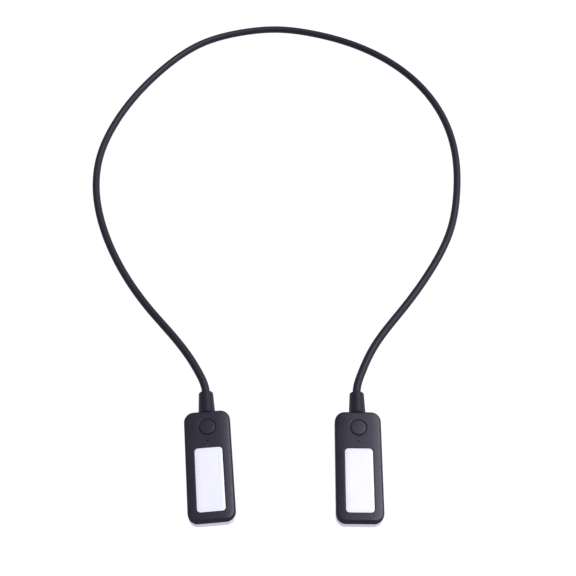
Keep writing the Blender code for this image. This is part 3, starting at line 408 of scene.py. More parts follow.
def rounded_rectangle(width, length, radius, middle_y=0.0):
    """Anticlockwise points of a rectangle with round corners, its straight sides evenly divided."""
    signs = ((1, 1), (-1, 1), (-1, -1), (1, -1))
    middles = [Vector((sx * (width / 2 - radius), middle_y + sy * (length / 2 - radius)))
               for sx, sy in signs]
    points = []
    for corner, middle in enumerate(middles):
        for step in range(CORNER_STEPS + 1):
            angle = math.radians(90 * (corner + step / CORNER_STEPS))
            points.append(middle + radius * Vector((math.cos(angle), math.sin(angle))))
        angle = math.radians(90 * (corner + 1))
        ahead = middles[(corner + 1) % 4] + radius * Vector((math.cos(angle), math.sin(angle)))
        steps = LONG_STEPS if corner % 2 else SHORT_STEPS
        here = points[-1]
        points += [here.lerp(ahead, step / steps) for step in range(1, steps)]
    return points


def circle(radius, sides, centre=(0.0, 0.0)):
    angles = [2 * math.pi * side / sides for side in range(sides)]
    return [Vector((centre[0] + radius * math.cos(a), centre[1] + radius * math.sin(a))) for a in angles]


def loft(mesh, rings, closed=False):
    """A skin through rings of points: capped at both ends, or joined round like a torus."""
    made = [[mesh.verts.new(point) for point in ring] for ring in rings]
    count = len(made[0])
    for lower, upper in zip(made, made[1:] + (made[:1] if closed else [])):
        for i in range(count):
            j = (i + 1) % count
            mesh.faces.new((lower[i], lower[j], upper[j], upper[i]))
    if not closed:
        mesh.faces.new(list(reversed(made[0])))
        mesh.faces.new(made[-1])


def turned(mesh, profile, sides, centre=(0.0, 0.0), placing=Matrix.Identity(4)):
    """A solid of revolution through radii and levels. Its ends close on the axis, level with the
    profile's first and last points, or at the level of a last point whose radius is zero."""
    ends = [mesh.verts.new(placing @ Vector((*centre, level))) for level in (profile[0][1], profile[-1][1])]
    rings = [[mesh.verts.new(placing @ (point.to_3d() + UP * level))
              for point in circle(radius, sides, centre)] for radius, level in profile if radius]
    for i in range(sides):
        j = (i + 1) % sides
        mesh.faces.new((ends[0], rings[0][j], rings[0][i]))
        for lower, upper in zip(rings, rings[1:]):
            mesh.faces.new((lower[i], lower[j], upper[j], upper[i]))
        mesh.faces.new((rings[-1][i], rings[-1][j], ends[1]))


def block(mesh, x_span, y_span, z_span):
    """A rectangular solid between two values on each axis."""
    corners = [Vector((x_span[a], y_span[b])) for a, b in ((0, 0), (1, 0), (1, 1), (0, 1))]
    loft(mesh, [[point.to_3d() + UP * z for point in corners] for z in z_span])


def quarter(radius, steps):
    """Insets and drops round a quarter circle, from its flat face out to its wall."""
    angles = [math.radians(90 * step / steps) for step in range(steps + 1)]
    return [(radius * (1 - math.sin(a)), radius * (1 - math.cos(a))) for a in angles]


# %% [markdown]
# A bmesh is only a workshop. These helpers turn it into a real object, cut and add shapes with
# Boolean modifiers, and then settle the result into plain mesh. Pieces of a head are made in the
# head's own frame, where every measure is a round number, and are moved to their place at the end.

# %% From mesh to finished piece
def make_object(name, mesh, finish):
    bmesh.ops.recalc_face_normals(mesh, faces=mesh.faces)
    data = bpy.data.meshes.new(name)
    mesh.to_mesh(data)
    mesh.free()
    data.materials.append(finish)
    return new_object(name, data)


def combine(piece, mesh, operation):
    """Adds or cuts shapes with a Boolean modifier. They take the piece's own finish."""
    tool = make_object(f"{piece.name}.{operation.lower()}", mesh, piece.data.materials[0])
    tool.hide_render = True
    boolean = piece.modifiers.new(operation.title(), "BOOLEAN")
    boolean.operation = operation
    boolean.object = tool


def plain_mesh(piece):
    """Puts the modifiers' result in the place of the piece's mesh."""
    graph = bpy.context.evaluated_depsgraph_get()
    data = bpy.data.meshes.new_from_object(piece.evaluated_get(graph))
    tools = [m.object for m in piece.modifiers if m.type == "BOOLEAN"]
    piece.modifiers.clear()
    piece.data = data
    for tool in tools:
        bpy.data.objects.remove(tool)


def settle(piece):
    """Turns the piece into its own smooth-shaded mesh."""
    if piece.modifiers:
        plain_mesh(piece)
    piece.data.shade_smooth()
    piece.data.set_sharp_from_angle(angle=SHARP_ANGLE)
    return piece


def store(piece, name, values, kind="FLOAT"):
    """Writes an attribute with one value for each point."""
    made = piece.data.attributes.new(name, kind, "POINT")
    field = "vector" if kind == "FLOAT_VECTOR" else "value"
    made.data.foreach_set(field, np.ravel(values).astype(np.float32))


def hand_over(piece, body, slot, *nodes):
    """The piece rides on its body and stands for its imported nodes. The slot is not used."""
    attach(piece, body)
    if nodes:
        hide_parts(*nodes)
    return piece


def make_pair(*makers):
    """Makes the pieces of each head and says how fine they are."""
    for side in SIDES:
        for make in makers:
            piece = make(side)
            print(piece.name, len(piece.data.polygons), "faces")


# %% [markdown]
# The two heads are one moulding, used twice. Each lies at its own small turn on the table. The
# packed button cap is round, so the middle of its box is the button's middle, and the head's own
# frame follows from it: its origin is on the collar end's back edge, with -Y down the head.

# %% The heads' sizes and places
HEAD_WIDTH, HEAD_LENGTH, HEAD_THICKNESS = 0.0262, 0.0637, 0.0110
HEAD_CORNER = 0.0055
FRONT_EDGE, BACK_EDGE = 0.0012, 0.0010
FACE_CROWN, CROWN_POWER = 0.0008, 4
SEAM_LEVEL, SEAM_GAP, SEAM_ROUND = 0.0061, 0.0002, 0.00015
REAR_WALL, FRONT_WALL, FRONT_SKIN = 0.0014, 0.0018, 0.0015
INNER_EDGE = 0.0004
LIP_WIDTH, LIP_DEPTH, FIT_GAP = 0.0007, 0.0010, 0.0003
OVERRUN = 0.0005
BUTTON_Y, BUTTON_RADIUS = -0.0096, 0.0045
POST_INSET_X, POST_INSET_Y = 0.00315, 0.0034
REAR_POST, FRONT_POST, POST_BORE, SHANK, PIN_LENGTH = 0.0024, 0.0018, 0.0012, 0.0009, 0.0016
FERRULE_FRONT, FERRULE_LENGTH, FERRULE_HALF = -0.0032, 0.0034, 0.0021
BOARD_HALF_WIDTH, BOARD_TOP, BOARD_THICKNESS = 0.0107, 0.00715, 0.0008
FIN_ROWS, FIN_LENGTH, FIN_THICKNESS, LEDGE_WIDTH = (-0.02955, -0.0550), 0.0030, 0.0006, 0.0013
NECK_AXIS = HEAD_THICKNESS / 2
HEAD_MIDDLE_Y = -HEAD_LENGTH / 2
CEILING = HEAD_THICKNESS - FRONT_SKIN
HEAD_TURNS = {"left": math.radians(5.1), "right": math.radians(-0.6)}


def head_place(side):
    low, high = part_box(f"{side}_button_cap")
    middle = (low + high) / 2
    turn = Matrix.Rotation(HEAD_TURNS[side], 4, "Z")
    return Matrix.Translation(Vector((middle.x, middle.y, 0.0)) - turn @ Vector((0.0, BUTTON_Y, 0.0))) @ turn


PLACES = {side: head_place(side) for side in SIDES}


def fit(piece, side, body, slot, *nodes):
    """Moves a piece of a head to its place, and hands it over with that side's body and nodes."""
    piece.data.transform(PLACES[side])
    return hand_over(piece, f"{side}_{body}", slot, *(f"{side}_{node}" for node in nodes))


print("heads stand at", {side: [round(v, 5) for v in PLACES[side].translation] for side in SIDES})

# %% [markdown]
# Both casing halves are lofts of one outline, drawn in by an inset at each level. The front face
# is very slightly crowned across its width, as mouldings are, because a truly flat face looks
# sunken once it is made. The fall grows with the fourth power of the distance from the middle, so
# the window stays nearly flat and the two strips beside it lean outward. The attributes for edges
# and walls are worked out from the same measures: the edge is 1 where the form rounds over and 0
# on the flats.

# %% Casing rings, edges and walls
def crown_drop(x):
    """How far the crowned face lies below its middle line, at a place across the head."""
    return FACE_CROWN * (2 * x / HEAD_WIDTH) ** CROWN_POWER


def raised(outline, height, crowned):
    return [point.to_3d() + UP * (height - crowned * crown_drop(point.x)) for point in outline]


def casing_ring(inset, height, crowned=0.0):
    radius = max(HEAD_CORNER - inset, INNER_EDGE)
    return raised(rounded_rectangle(HEAD_WIDTH - 2 * inset, HEAD_LENGTH - 2 * inset, radius, HEAD_MIDDLE_Y),
                  height, crowned)


def casing_inset(point):
    """How far inside the head's outline a point lies."""
    across = abs(point.x) - (HEAD_WIDTH / 2 - HEAD_CORNER)
    down = abs(point.y - HEAD_MIDDLE_Y) - (HEAD_LENGTH / 2 - HEAD_CORNER)
    outside = math.hypot(max(across, 0.0), max(down, 0.0))
    return HEAD_CORNER - outside - min(max(across, down), 0.0)


def edge_share(point, level, radius):
    """1 on the rounded edge at that level, and 0 from twice its radius on."""
    reach = max(casing_inset(point), abs(point.z - level)) / radius
    return min(max(2.0 - reach, 0.0), 1.0)


def wall_share(point):
    """0 on the crowned face, and 1 from the foot of its rounded edge down."""
    depth = HEAD_THICKNESS - crown_drop(point.x) - point.z
    return min(max(depth / FRONT_EDGE, 0.0), 1.0)


def corner_places(y):
    """The two places beside the middle line where posts stand, at a distance down the head."""
    x = HEAD_WIDTH / 2 - POST_INSET_X
    return [(-x, y), (x, y)]


SCREW_PLACES = corner_places(POST_INSET_Y - HEAD_LENGTH)
PIN_PLACES = corner_places(-POST_INSET_Y)

# %% [markdown]
# The charging socket and the neck's boot each pass through a wall that the two halves share. So
# the same two cutters serve both halves, and the openings always line up. Posts and fins stand
# in both halves too, and one function makes each kind wherever it is needed.

# %% Forms that both halves share
BOOT_HOLE = 0.0034
SOCKET_Y, SOCKET_WIDTH, SOCKET_HEIGHT, SOCKET_DEPTH, SOCKET_SHELL = -0.0145, 0.0090, 0.0032, 0.0073, 0.0003
BOARD_LEVEL, SOLDER_GAP = HEAD_THICKNESS - 0.00465, 0.00015
SOCKET_MIDDLE_Z = BOARD_LEVEL - SOLDER_GAP - SOCKET_HEIGHT / 2
MOUTH_FLARE = 0.00012
ROUND_SIDES, POST_SIDES = 64, 24
TO_SIDE = Matrix.Translation((0.0, 0.0, NECK_AXIS)) @ Matrix.Rotation(math.radians(-90), 4, "X")


def posts(mesh, places, profile, sides=POST_SIDES):
    """The same turned form at each of the places."""
    for place in places:
        turned(mesh, profile, sides, place)


def fins(mesh, inner, outer, z_span):
    """Four short walls that hold the board's long edges, between two distances from the middle."""
    for y in FIN_ROWS:
        for sign in (-1, 1):
            block(mesh, sorted((sign * inner, sign * outer)),
                  (y - FIN_LENGTH / 2, y + FIN_LENGTH / 2), z_span)


def socket_ring(grow, x):
    """The socket's long round outline in the side wall's plane, grown by a clearance."""
    width, height = SOCKET_WIDTH + 2 * grow, SOCKET_HEIGHT + 2 * grow
    outline = rounded_rectangle(width, height, height / 2 - INNER_EDGE / 2)
    return [Vector((x, SOCKET_Y + point.x, SOCKET_MIDDLE_Z + point.y)) for point in outline]


def wall_cutters(mesh):
    turned(mesh, [(BOOT_HOLE, -FRONT_WALL - OVERRUN), (BOOT_HOLE, OVERRUN)], ROUND_SIDES, placing=TO_SIDE)
    wall = HEAD_WIDTH / 2
    loft(mesh, [socket_ring(FIT_GAP, wall - FRONT_WALL - OVERRUN), socket_ring(FIT_GAP, wall - MOUTH_FLARE),
                socket_ring(FIT_GAP + MOUTH_FLARE + OVERRUN, wall + OVERRUN)])


# %% [markdown]
# The black front shell is the face of the lamp. It has a long window, a round hole for the button
# and a pin-hole for the charge indicator. Its rounded front edge is the first thing that the light
# finds, so it gets ten loops. The holes are cut with tools whose ends flare in a quarter round,
# which leaves a real rounded lip in place of a knife edge. Posts, pins and ledges stand inside.

# %% Front shell
WINDOW_WIDTH, WINDOW_LENGTH, WINDOW_TOP = 0.0158, 0.0368, 0.0220
WINDOW_CORNER, WINDOW_LIP = 0.0021, 0.00025
WINDOW_MIDDLE_Y = -WINDOW_TOP - WINDOW_LENGTH / 2
BUTTON_HOLE, BUTTON_LIP = BUTTON_RADIUS + 0.0003, 0.0003
INDICATOR_Y, INDICATOR_HOLE = -0.0181, 0.00045
RIB_THICKNESS, BORE_TOP = 0.0007, 0.0081
FACE_CORE, LIP_ANGLE = 0.0008, 82
FACE_LOOPS, EDGE_LOOPS, LIP_LOOPS, SEAM_LOOPS = 18, 10, 4, 3


def window_ring(grow, height, radius=WINDOW_CORNER, crowned=1.0):
    return raised(rounded_rectangle(WINDOW_WIDTH + 2 * grow, WINDOW_LENGTH + 2 * grow,
                                    max(radius + grow, INNER_EDGE), WINDOW_MIDDLE_Y), height, crowned)


def lip_profile(radius):
    """Growths and levels of a cutter that leaves a rounded lip at the face."""
    angles = [math.radians(LIP_ANGLE * step / LIP_LOOPS) for step in range(LIP_LOOPS + 1)]
    found = [(radius * (1 - math.cos(a)), HEAD_THICKNESS - radius * (1 - math.sin(a))) for a in angles]
    return found + [(radius + OVERRUN, HEAD_THICKNESS + OVERRUN / 4)]


def front_shell(side):
    middle = HEAD_WIDTH / 2 - FACE_CORE
    face = [(inset, HEAD_THICKNESS, 1.0)
            for inset in np.linspace(middle, FRONT_EDGE, FACE_LOOPS).tolist()[:-1]]
    edge = [(inset, HEAD_THICKNESS - drop, 1.0) for inset, drop in quarter(FRONT_EDGE, EDGE_LOOPS)]
    rim = SEAM_LEVEL + SEAM_GAP
    seam = [(inset, rim + drop) for inset, drop in reversed(quarter(SEAM_ROUND, SEAM_LOOPS))]
    tongue = SEAM_LEVEL - LIP_DEPTH + FIT_GAP
    inside = [(LIP_WIDTH + FIT_GAP, rim), (LIP_WIDTH + FIT_GAP, tongue), (FRONT_WALL, tongue),
              (FRONT_WALL, CEILING - INNER_EDGE, 1.0), (FRONT_WALL + INNER_EDGE, CEILING, 1.0),
              (HEAD_WIDTH / 4, CEILING, 1.0), (middle, CEILING, 1.0)]
    mesh = bmesh.new()
    loft(mesh, [casing_ring(*level) for level in face + edge + seam + inside])
    piece = make_object(f"{side}_front_shell_moulded", mesh, FINISHES["black_plastic"])

    added = bmesh.new()
    roof = CEILING + FRONT_SKIN / 4
    posts(added, SCREW_PLACES, [(FRONT_POST, rim), (FRONT_POST, roof)])
    tip = SEAM_LEVEL - LIP_DEPTH - PIN_LENGTH
    posts(added, PIN_PLACES, [(SHANK, tip), (SHANK, rim), (FRONT_POST, rim), (FRONT_POST, roof)])
    wall = HEAD_WIDTH / 2 - FRONT_WALL
    fins(added, wall - LEDGE_WIDTH, wall + FRONT_WALL / 2, (BOARD_TOP + FIT_GAP / 2, roof))
    block(added, (-FERRULE_HALF, FERRULE_HALF), (FERRULE_FRONT - RIB_THICKNESS, FERRULE_FRONT),
          (NECK_AXIS + FERRULE_HALF + FIT_GAP, roof))
    combine(piece, added, "UNION")

    cut = bmesh.new()
    wall_cutters(cut)
    posts(cut, SCREW_PLACES, [(POST_BORE, tongue), (POST_BORE, BORE_TOP)])
    lips = [window_ring(grow, height) for grow, height in lip_profile(WINDOW_LIP)]
    loft(cut, [window_ring(0.0, CEILING - 2 * OVERRUN, crowned=0.0), *lips,
               window_ring(WINDOW_LIP + 2 * OVERRUN, HEAD_THICKNESS + OVERRUN, crowned=0.0)])
    button = [(BUTTON_HOLE + grow, height) for grow, height in lip_profile(BUTTON_LIP)]
    turned(cut, [(BUTTON_HOLE, CEILING - OVERRUN), *button], ROUND_SIDES, (0.0, BUTTON_Y))
    turned(cut, [(INDICATOR_HOLE, CEILING - OVERRUN), (INDICATOR_HOLE, HEAD_THICKNESS + OVERRUN)],
           POST_SIDES, (0.0, INDICATOR_Y))
    combine(piece, cut, "DIFFERENCE")
    settle(piece)
    points = [v.co for v in piece.data.vertices]
    store(piece, "edge", [edge_share(point, HEAD_THICKNESS, FRONT_EDGE) for point in points])
    store(piece, "wall", [wall_share(point) for point in points])
    return fit(piece, side, "head", "black_plastic", "front_shell")


make_pair(front_shell)

# %% [markdown]
# The white rear cover is a tub. Its rim is stepped, so that the black shell's tongue drops inside
# it and no light leaks out. From above it shows only as a pale line under the black shell, but
# from the side and the back it is half of the lamp.

# %% Rear cover
SCREW_SEAT, SCREW_WELL = 0.0015, 0.0019
SADDLE_WALL, SADDLE_STOP = 0.0016, 0.0009


def rear_cover(side):
    edge = [(BACK_EDGE + SEAM_ROUND, 0.0), *quarter(BACK_EDGE, EDGE_LOOPS)]
    seam = [(inset, SEAM_LEVEL - drop) for inset, drop in reversed(quarter(SEAM_ROUND, SEAM_LOOPS))]
    step = SEAM_LEVEL - LIP_DEPTH
    inside = [(LIP_WIDTH, SEAM_LEVEL), (LIP_WIDTH, step), (REAR_WALL, step),
              (REAR_WALL, REAR_WALL + INNER_EDGE), (REAR_WALL + INNER_EDGE, REAR_WALL)]
    mesh = bmesh.new()
    loft(mesh, [casing_ring(*level) for level in edge + seam + inside])
    piece = make_object(f"{side}_rear_cover_moulded", mesh, FINISHES["white_plastic"])

    added = bmesh.new()
    root = REAR_WALL / 2
    posts(added, SCREW_PLACES + PIN_PLACES, [(REAR_POST, root), (REAR_POST, step)])
    fins(added, BOARD_HALF_WIDTH - FIN_THICKNESS, BOARD_HALF_WIDTH,
         (root, BOARD_TOP - BOARD_THICKNESS - FIT_GAP))
    pocket = FERRULE_HALF + FIT_GAP
    ferrule_back = FERRULE_FRONT - FERRULE_LENGTH - FIT_GAP
    block(added, (-pocket - SADDLE_WALL, pocket + SADDLE_WALL), (ferrule_back - SADDLE_STOP, FERRULE_FRONT),
          (root, NECK_AXIS))
    combine(piece, added, "UNION")

    cut = bmesh.new()
    wall_cutters(cut)
    posts(cut, SCREW_PLACES, [(SCREW_WELL + OVERRUN, -OVERRUN), (SCREW_WELL, MOUTH_FLARE),
                              (SCREW_WELL, SCREW_SEAT), (POST_BORE, SCREW_SEAT),
                              (POST_BORE, SEAM_LEVEL + OVERRUN)], POST_SIDES * 2)
    foot = step - PIN_LENGTH - FIT_GAP
    posts(cut, PIN_PLACES, [(POST_BORE, foot), (POST_BORE, SEAM_LEVEL)])
    block(cut, (-pocket, pocket), (ferrule_back, FERRULE_FRONT + OVERRUN),
          (NECK_AXIS - pocket, NECK_AXIS + OVERRUN))
    combine(piece, cut, "DIFFERENCE")
    settle(piece)
    store(piece, "edge", [edge_share(v.co, 0.0, BACK_EDGE) for v in piece.data.vertices])
    return fit(piece, side, "head", "white_plastic", "rear_cover")


make_pair(rear_cover)

# %% [markdown]
# The window's panel is one milky moulding: a flange that stays behind the shell, and a face that
# rises through the window with a wide, shallow bevel. It is flatter than the crowned face round it.
# Two rings of its loft carry the faint lines of painted shade, and the rings beside them let each line fade.

# %% Window panel
PANEL_BEVEL, PANEL_RISE, PANEL_SINK, PANEL_CLEARANCE = 0.0014, 0.00012, 0.0001, 0.00015
PANEL_CROWNED, PANEL_ROUND, PANEL_FLAT_LOOPS = 0.3, 0.00012, (2, 3.2)
# Where the two lines of painted shade lie, in from the window's edge, and half their width.
SHADE_LINE_INSETS, SHADE_LINE_HALF = (0.0012, 0.0025), 0.0003
FLANGE_GROW, FLANGE_THICKNESS, FLANGE_CORNER = 0.0012, 0.0006, 0.0021


def window_panel(side):
    flange_top = CEILING - FIT_GAP
    edge = HEAD_THICKNESS - PANEL_SINK
    lit = edge + PANEL_RISE
    bevel = PANEL_CLEARANCE + PANEL_BEVEL
    levels = [(FLANGE_GROW, flange_top - FLANGE_THICKNESS, FLANGE_CORNER),
              (FLANGE_GROW, flange_top, FLANGE_CORNER), (-PANEL_CLEARANCE, flange_top),
              (-PANEL_CLEARANCE, edge - PANEL_ROUND),
              (-PANEL_CLEARANCE - PANEL_ROUND / 3, edge - PANEL_ROUND / 3),
              (-PANEL_CLEARANCE - PANEL_ROUND, edge)]
    for line in SHADE_LINE_INSETS:
        for inset in (line - SHADE_LINE_HALF, line, line + SHADE_LINE_HALF):
            levels.append((-inset, edge + PANEL_RISE * min(1.0, inset / bevel)))
    levels += [(-loop * bevel, lit) for loop in PANEL_FLAT_LOOPS]
    levels.append((FACE_CORE - WINDOW_WIDTH / 2, lit, 0.0))
    rings = [window_ring(*level, crowned=PANEL_CROWNED) for level in levels]
    mesh = bmesh.new()
    loft(mesh, rings)
    piece = settle(make_object(f"{side}_window_panel", mesh, FINISHES["milky_plastic"]))
    # The rings at those insets are marked, so that the milky finish paints its shade lines there.
    store(piece, "frame_line",
          [float(-level[0] in SHADE_LINE_INSETS) for level, ring in zip(levels, rings) for _ in ring])
    return fit(piece, side, "head", "diffuser_plastic", "diffuser")


make_pair(window_panel)

# %% [markdown]
# The button is a round cap that stands just proud of the face inside a dark groove. Anything round
# is a turned profile: half of its section, spun about the axis. A flange below the face keeps the
# cap in, and a nub in its middle presses the switch.

# %% Button cap
CAP_PROUD, CAP_ROUND, CAP_CROWN, CAP_WALL = 0.0004, 0.0006, 0.00008, 0.0010
CAP_LOOPS, CROWN_SHARES = 7, (0.8, 0.6, 0.4, 0.2)
CAP_FLANGE_WIDTH, CAP_FLANGE_THICKNESS = 0.0007, 0.0004
SKIRT_GROW, SKIRT_DROP = 0.00017, 0.0003
STEM_RADIUS, STEM_TOP = 0.0010, 0.0095


def button_cap(side):
    top = HEAD_THICKNESS + CAP_PROUD
    flange = HEAD_THICKNESS - FRONT_SKIN - FIT_GAP
    hollow = BUTTON_RADIUS - CAP_WALL
    edge = [(BUTTON_RADIUS - inset, top - CAP_CROWN - drop)
            for inset, drop in reversed(quarter(CAP_ROUND, CAP_LOOPS))]
    crown = [(BUTTON_RADIUS * share, top - CAP_CROWN * share * share) for share in CROWN_SHARES]
    skirt, skirt_top = BUTTON_RADIUS + SKIRT_GROW, HEAD_THICKNESS - SKIRT_DROP
    brim, brim_foot = BUTTON_RADIUS + CAP_FLANGE_WIDTH, flange - CAP_FLANGE_THICKNESS
    profile = [(STEM_RADIUS, STEM_TOP), (STEM_RADIUS, top - CAP_WALL), (hollow, top - CAP_WALL),
               (hollow, brim_foot), (brim, brim_foot), (brim, flange), (skirt, flange),
               (skirt, skirt_top), (BUTTON_RADIUS, skirt_top), *edge, *crown, (0.0, top)]
    mesh = bmesh.new()
    turned(mesh, profile, ROUND_SIDES, (0.0, BUTTON_Y))
    piece = settle(make_object(f"{side}_button_cap_turned", mesh, FINISHES["button_plastic"]))
    rim = []
    for point in (v.co for v in piece.data.vertices):
        off = abs(math.hypot(point.x, point.y - BUTTON_Y) - BUTTON_RADIUS) / CAP_ROUND
        rim.append(max(0.0, 1.0 - off) * (point.z > top - 2 * CAP_ROUND))
    store(piece, "edge", rim)
    return fit(piece, side, "button", "button_plastic", "button_cap")


make_pair(button_cap)

# %% [markdown]
# The charge indicator is a thin pin of smoked plastic. It carries the light of one tiny lamp up to
# the pin-hole, and sits a little below the face, so that it looks like a dark dot when it is off.

# %% Indicator pin
SMOKED_DARK, SMOKED_LIGHT, SMOKED_ROUGH = (0.004, 0.004, 0.005), (0.006, 0.006, 0.008), (0.20, 0.30)
SMOKED_CLOUDS, SMOKED_SPECULAR = 0.0006, 0.1
PIN_RADIUS, PIN_RECESS, PIN_FOOT, PIN_FOOT_HEIGHT, PIN_TIP = 0.00028, 0.0002, 0.0073, 0.0007, 0.8


def smoked_plastic():
    tree = new_material("smoked_plastic")
    cloud = mask(tree, FLOW_CLOUDS, {"Place": place_socket(tree), "Size": SMOKED_CLOUDS})
    dress(tree, two_colours(tree, cloud, SMOKED_DARK, SMOKED_LIGHT), ranged(tree, cloud, *SMOKED_ROUGH),
          Specular_IOR_Level=SMOKED_SPECULAR)


def indicator_pin(side):
    top = HEAD_THICKNESS - PIN_RECESS
    foot = PIN_FOOT + PIN_FOOT_HEIGHT
    mesh = bmesh.new()
    turned(mesh, [(2 * PIN_RADIUS, PIN_FOOT), (2 * PIN_RADIUS, foot), (PIN_RADIUS, foot),
                  (PIN_RADIUS, top - PIN_RADIUS / 3), (PIN_RADIUS * PIN_TIP, top),
                  (0.0, top + PIN_RADIUS / 8)],
           POST_SIDES, (0.0, INDICATOR_Y))
    piece = settle(make_object(f"{side}_indicator_pin", mesh, FINISHES["smoked_plastic"]))
    return fit(piece, side, "head", "clear_plastic", "indicator_light_pipe")


smoked_plastic()
make_pair(indicator_pin)

# %% [markdown]
# A soft rubber boot guards the neck where it leaves the casing. It grips the wall with a lip
# outside and a flange inside, tapers towards its round mouth, and lets the neck bend without a
# kink. Its section is a closed ring, so it is lofted round on itself like a torus.

# %% Strain relief boot
BOOT_LENGTH, BOOT_TIP, BOOT_BASE = 0.0136, 0.0042, 0.0048
BOOT_ROUND, BOOT_LIP, BOOT_LIP_LENGTH = 0.0010, 0.0003, 0.0010
BOOT_GROOVE, BOOT_FLANGE, BOOT_FLANGE_THICKNESS = 0.0031, 0.0037, 0.0008
BOOT_EASE, BOOT_BLEND = 0.0001, 0.0003
SLEEVE_RADIUS = 0.00235
BOOT_BORE = SLEEVE_RADIUS + 0.00015
BOOT_LOOPS = 6


def boot(side):
    seat = -FRONT_WALL - FIT_GAP
    mouth = [(BOOT_BORE, BOOT_LENGTH - BOOT_BLEND), (BOOT_BORE + BOOT_EASE, BOOT_LENGTH - BOOT_EASE),
             (BOOT_BORE + BOOT_BLEND, BOOT_LENGTH)]
    outer = [(BOOT_TIP - inset, BOOT_LENGTH - drop) for inset, drop in quarter(BOOT_ROUND, BOOT_LOOPS)]
    lip = BOOT_BASE + BOOT_LIP
    base = [(BOOT_BASE, BOOT_LIP_LENGTH + 2 * BOOT_BLEND),
            (BOOT_BASE + BOOT_LIP / 4, BOOT_LIP_LENGTH + BOOT_BLEND), (lip - BOOT_EASE, BOOT_LIP_LENGTH),
            (lip, BOOT_LIP_LENGTH - BOOT_EASE), (lip, FIT_GAP + BOOT_EASE), (lip - BOOT_EASE, FIT_GAP)]
    inside = [(BOOT_GROOVE, FIT_GAP), (BOOT_GROOVE, seat), (BOOT_FLANGE, seat),
              (BOOT_FLANGE, seat - BOOT_FLANGE_THICKNESS), (BOOT_BORE, seat - BOOT_FLANGE_THICKNESS)]
    rings = [[TO_SIDE @ (point.to_3d() + UP * along) for point in circle(radius, ROUND_SIDES)]
             for radius, along in mouth + outer + base + inside]
    mesh = bmesh.new()
    loft(mesh, rings, closed=True)
    piece = settle(make_object(f"{side}_boot", mesh, FINISHES["boot_rubber"]))
    store(piece, "edge", [max(0.0, 1.0 - abs(v.co.y - BOOT_LENGTH) / BOOT_ROUND)
                          for v in piece.data.vertices])
    return fit(piece, side, "head", "boot_rubber", "strain_relief")


make_pair(boot)

# %% [markdown]
# Screws and socket contacts repeat, so a Geometry Nodes tree lays the copies. Its object holds only
# points, and the tree puts a copy of another object on each of them. The copies are then made real
# and given their finish, and the result is kept as plain mesh. Copying by hand would look the
# same, but here one tree serves both, and moving a point moves its copy.

# %% Geometry Nodes: copies on points
def new_modifier_tree(name, inputs):
    """A Geometry Nodes tree with a geometry in, named inputs, and a geometry out."""
    tree = bpy.data.node_groups.new(name, "GeometryNodeTree")
    for label, kind in {"Geometry": "NodeSocketGeometry", **inputs}.items():
        tree.interface.new_socket(label, in_out="INPUT", socket_type=kind)
    tree.interface.new_socket("Geometry", in_out="OUTPUT", socket_type="NodeSocketGeometry")
    return tree, add(tree, "NodeGroupInput").outputs


def end_tree(tree, given, geometry):
    """Every tree ends the same way: real mesh, then its finish."""
    real = add(tree, "GeometryNodeRealizeInstances", {"Geometry": geometry})
    dressed = add(tree, "GeometryNodeSetMaterial", {"Geometry": real.outputs["Geometry"],
                                                    "Material": given["Finish"]})
    add(tree, "NodeGroupOutput", {"Geometry": dressed.outputs["Geometry"]})
    return tree


def make_copies_tree():
    tree, given = new_modifier_tree("copies_on_points", {
        "Copy": "NodeSocketObject", "Size": "NodeSocketFloat", "Finish": "NodeSocketMaterial"})
    copied = add(tree, "GeometryNodeObjectInfo", {"Object": given["Copy"]})
    laid = add(tree, "GeometryNodeInstanceOnPoints", {
        "Points": given["Geometry"], "Instance": copied.outputs["Geometry"], "Scale": given["Size"]})
    return end_tree(tree, given, laid.outputs["Instances"])


def run_tree(name, source, tree, finish, **values):
    """Runs a tree on a mesh and keeps the result as a plain mesh object."""
    made = new_object(name, source)
    modifier = made.modifiers.new(tree.name, "NODES")
    modifier.node_group = tree
    for label, value in {**values, "Finish": FINISHES[finish]}.items():
        modifier[tree.interface.items_tree[label.replace("_", " ")].identifier] = value
    plain_mesh(made)
    return made


def line_mesh(name, points, edges=()):
    data = bpy.data.meshes.new(name)
    data.from_pydata([Vector(point) for point in points], list(edges), [])
    return data


COPIES_ON_POINTS = make_copies_tree()

# %% [markdown]
# Two small pan-head screws close each head from the back. One screw is turned, its cross recess is
# cut, and the tree lays it at both places. They sit deep in their recesses, so the head rests flat
# on a table.

# %% Cover screws
SCREW_RECESS, SCREW_HEAD_HEIGHT, SCREW_HEAD = 0.0003, 0.0009, 0.0016
SCREW_SHANK, SCREW_LENGTH = 0.0009, 0.0066
DOME_ROUND, DOME_LOOPS = 0.0004, 5
CROSS_LONG, CROSS_SHORT, CROSS_DEPTH = 0.0009, 0.0002, 0.0005


def screw_master():
    under = SCREW_RECESS + SCREW_HEAD_HEIGHT
    tip = under + SCREW_LENGTH
    head = [(SCREW_HEAD - inset, SCREW_RECESS + drop) for inset, drop in quarter(DOME_ROUND, DOME_LOOPS)]
    mesh = bmesh.new()
    turned(mesh, [*head, (SCREW_HEAD, under), (SCREW_SHANK, under), (SCREW_SHANK, tip - SCREW_SHANK),
                  (SCREW_SHANK / 2, tip)], POST_SIDES * 2)
    piece = make_object("screw_master", mesh, FINISHES["screw_steel"])
    for x, y in ((CROSS_LONG, CROSS_SHORT), (CROSS_SHORT, CROSS_LONG)):
        slot = bmesh.new()
        block(slot, (-x, x), (-y, y), (-OVERRUN, SCREW_RECESS + CROSS_DEPTH))
        combine(piece, slot, "DIFFERENCE")
        settle(piece)
    return piece


SCREW = screw_master()


def cover_screws(side):
    piece = run_tree(f"{side}_cover_screws", line_mesh("screw_points", [(*p, 0.0) for p in SCREW_PLACES]),
                     COPIES_ON_POINTS, "screw_steel", Copy=SCREW, Size=1.0)
    return fit(piece, side, "head", "screw_steel", "cover_screw_1", "cover_screw_2")


make_pair(cover_screws)
bpy.data.objects.remove(SCREW)

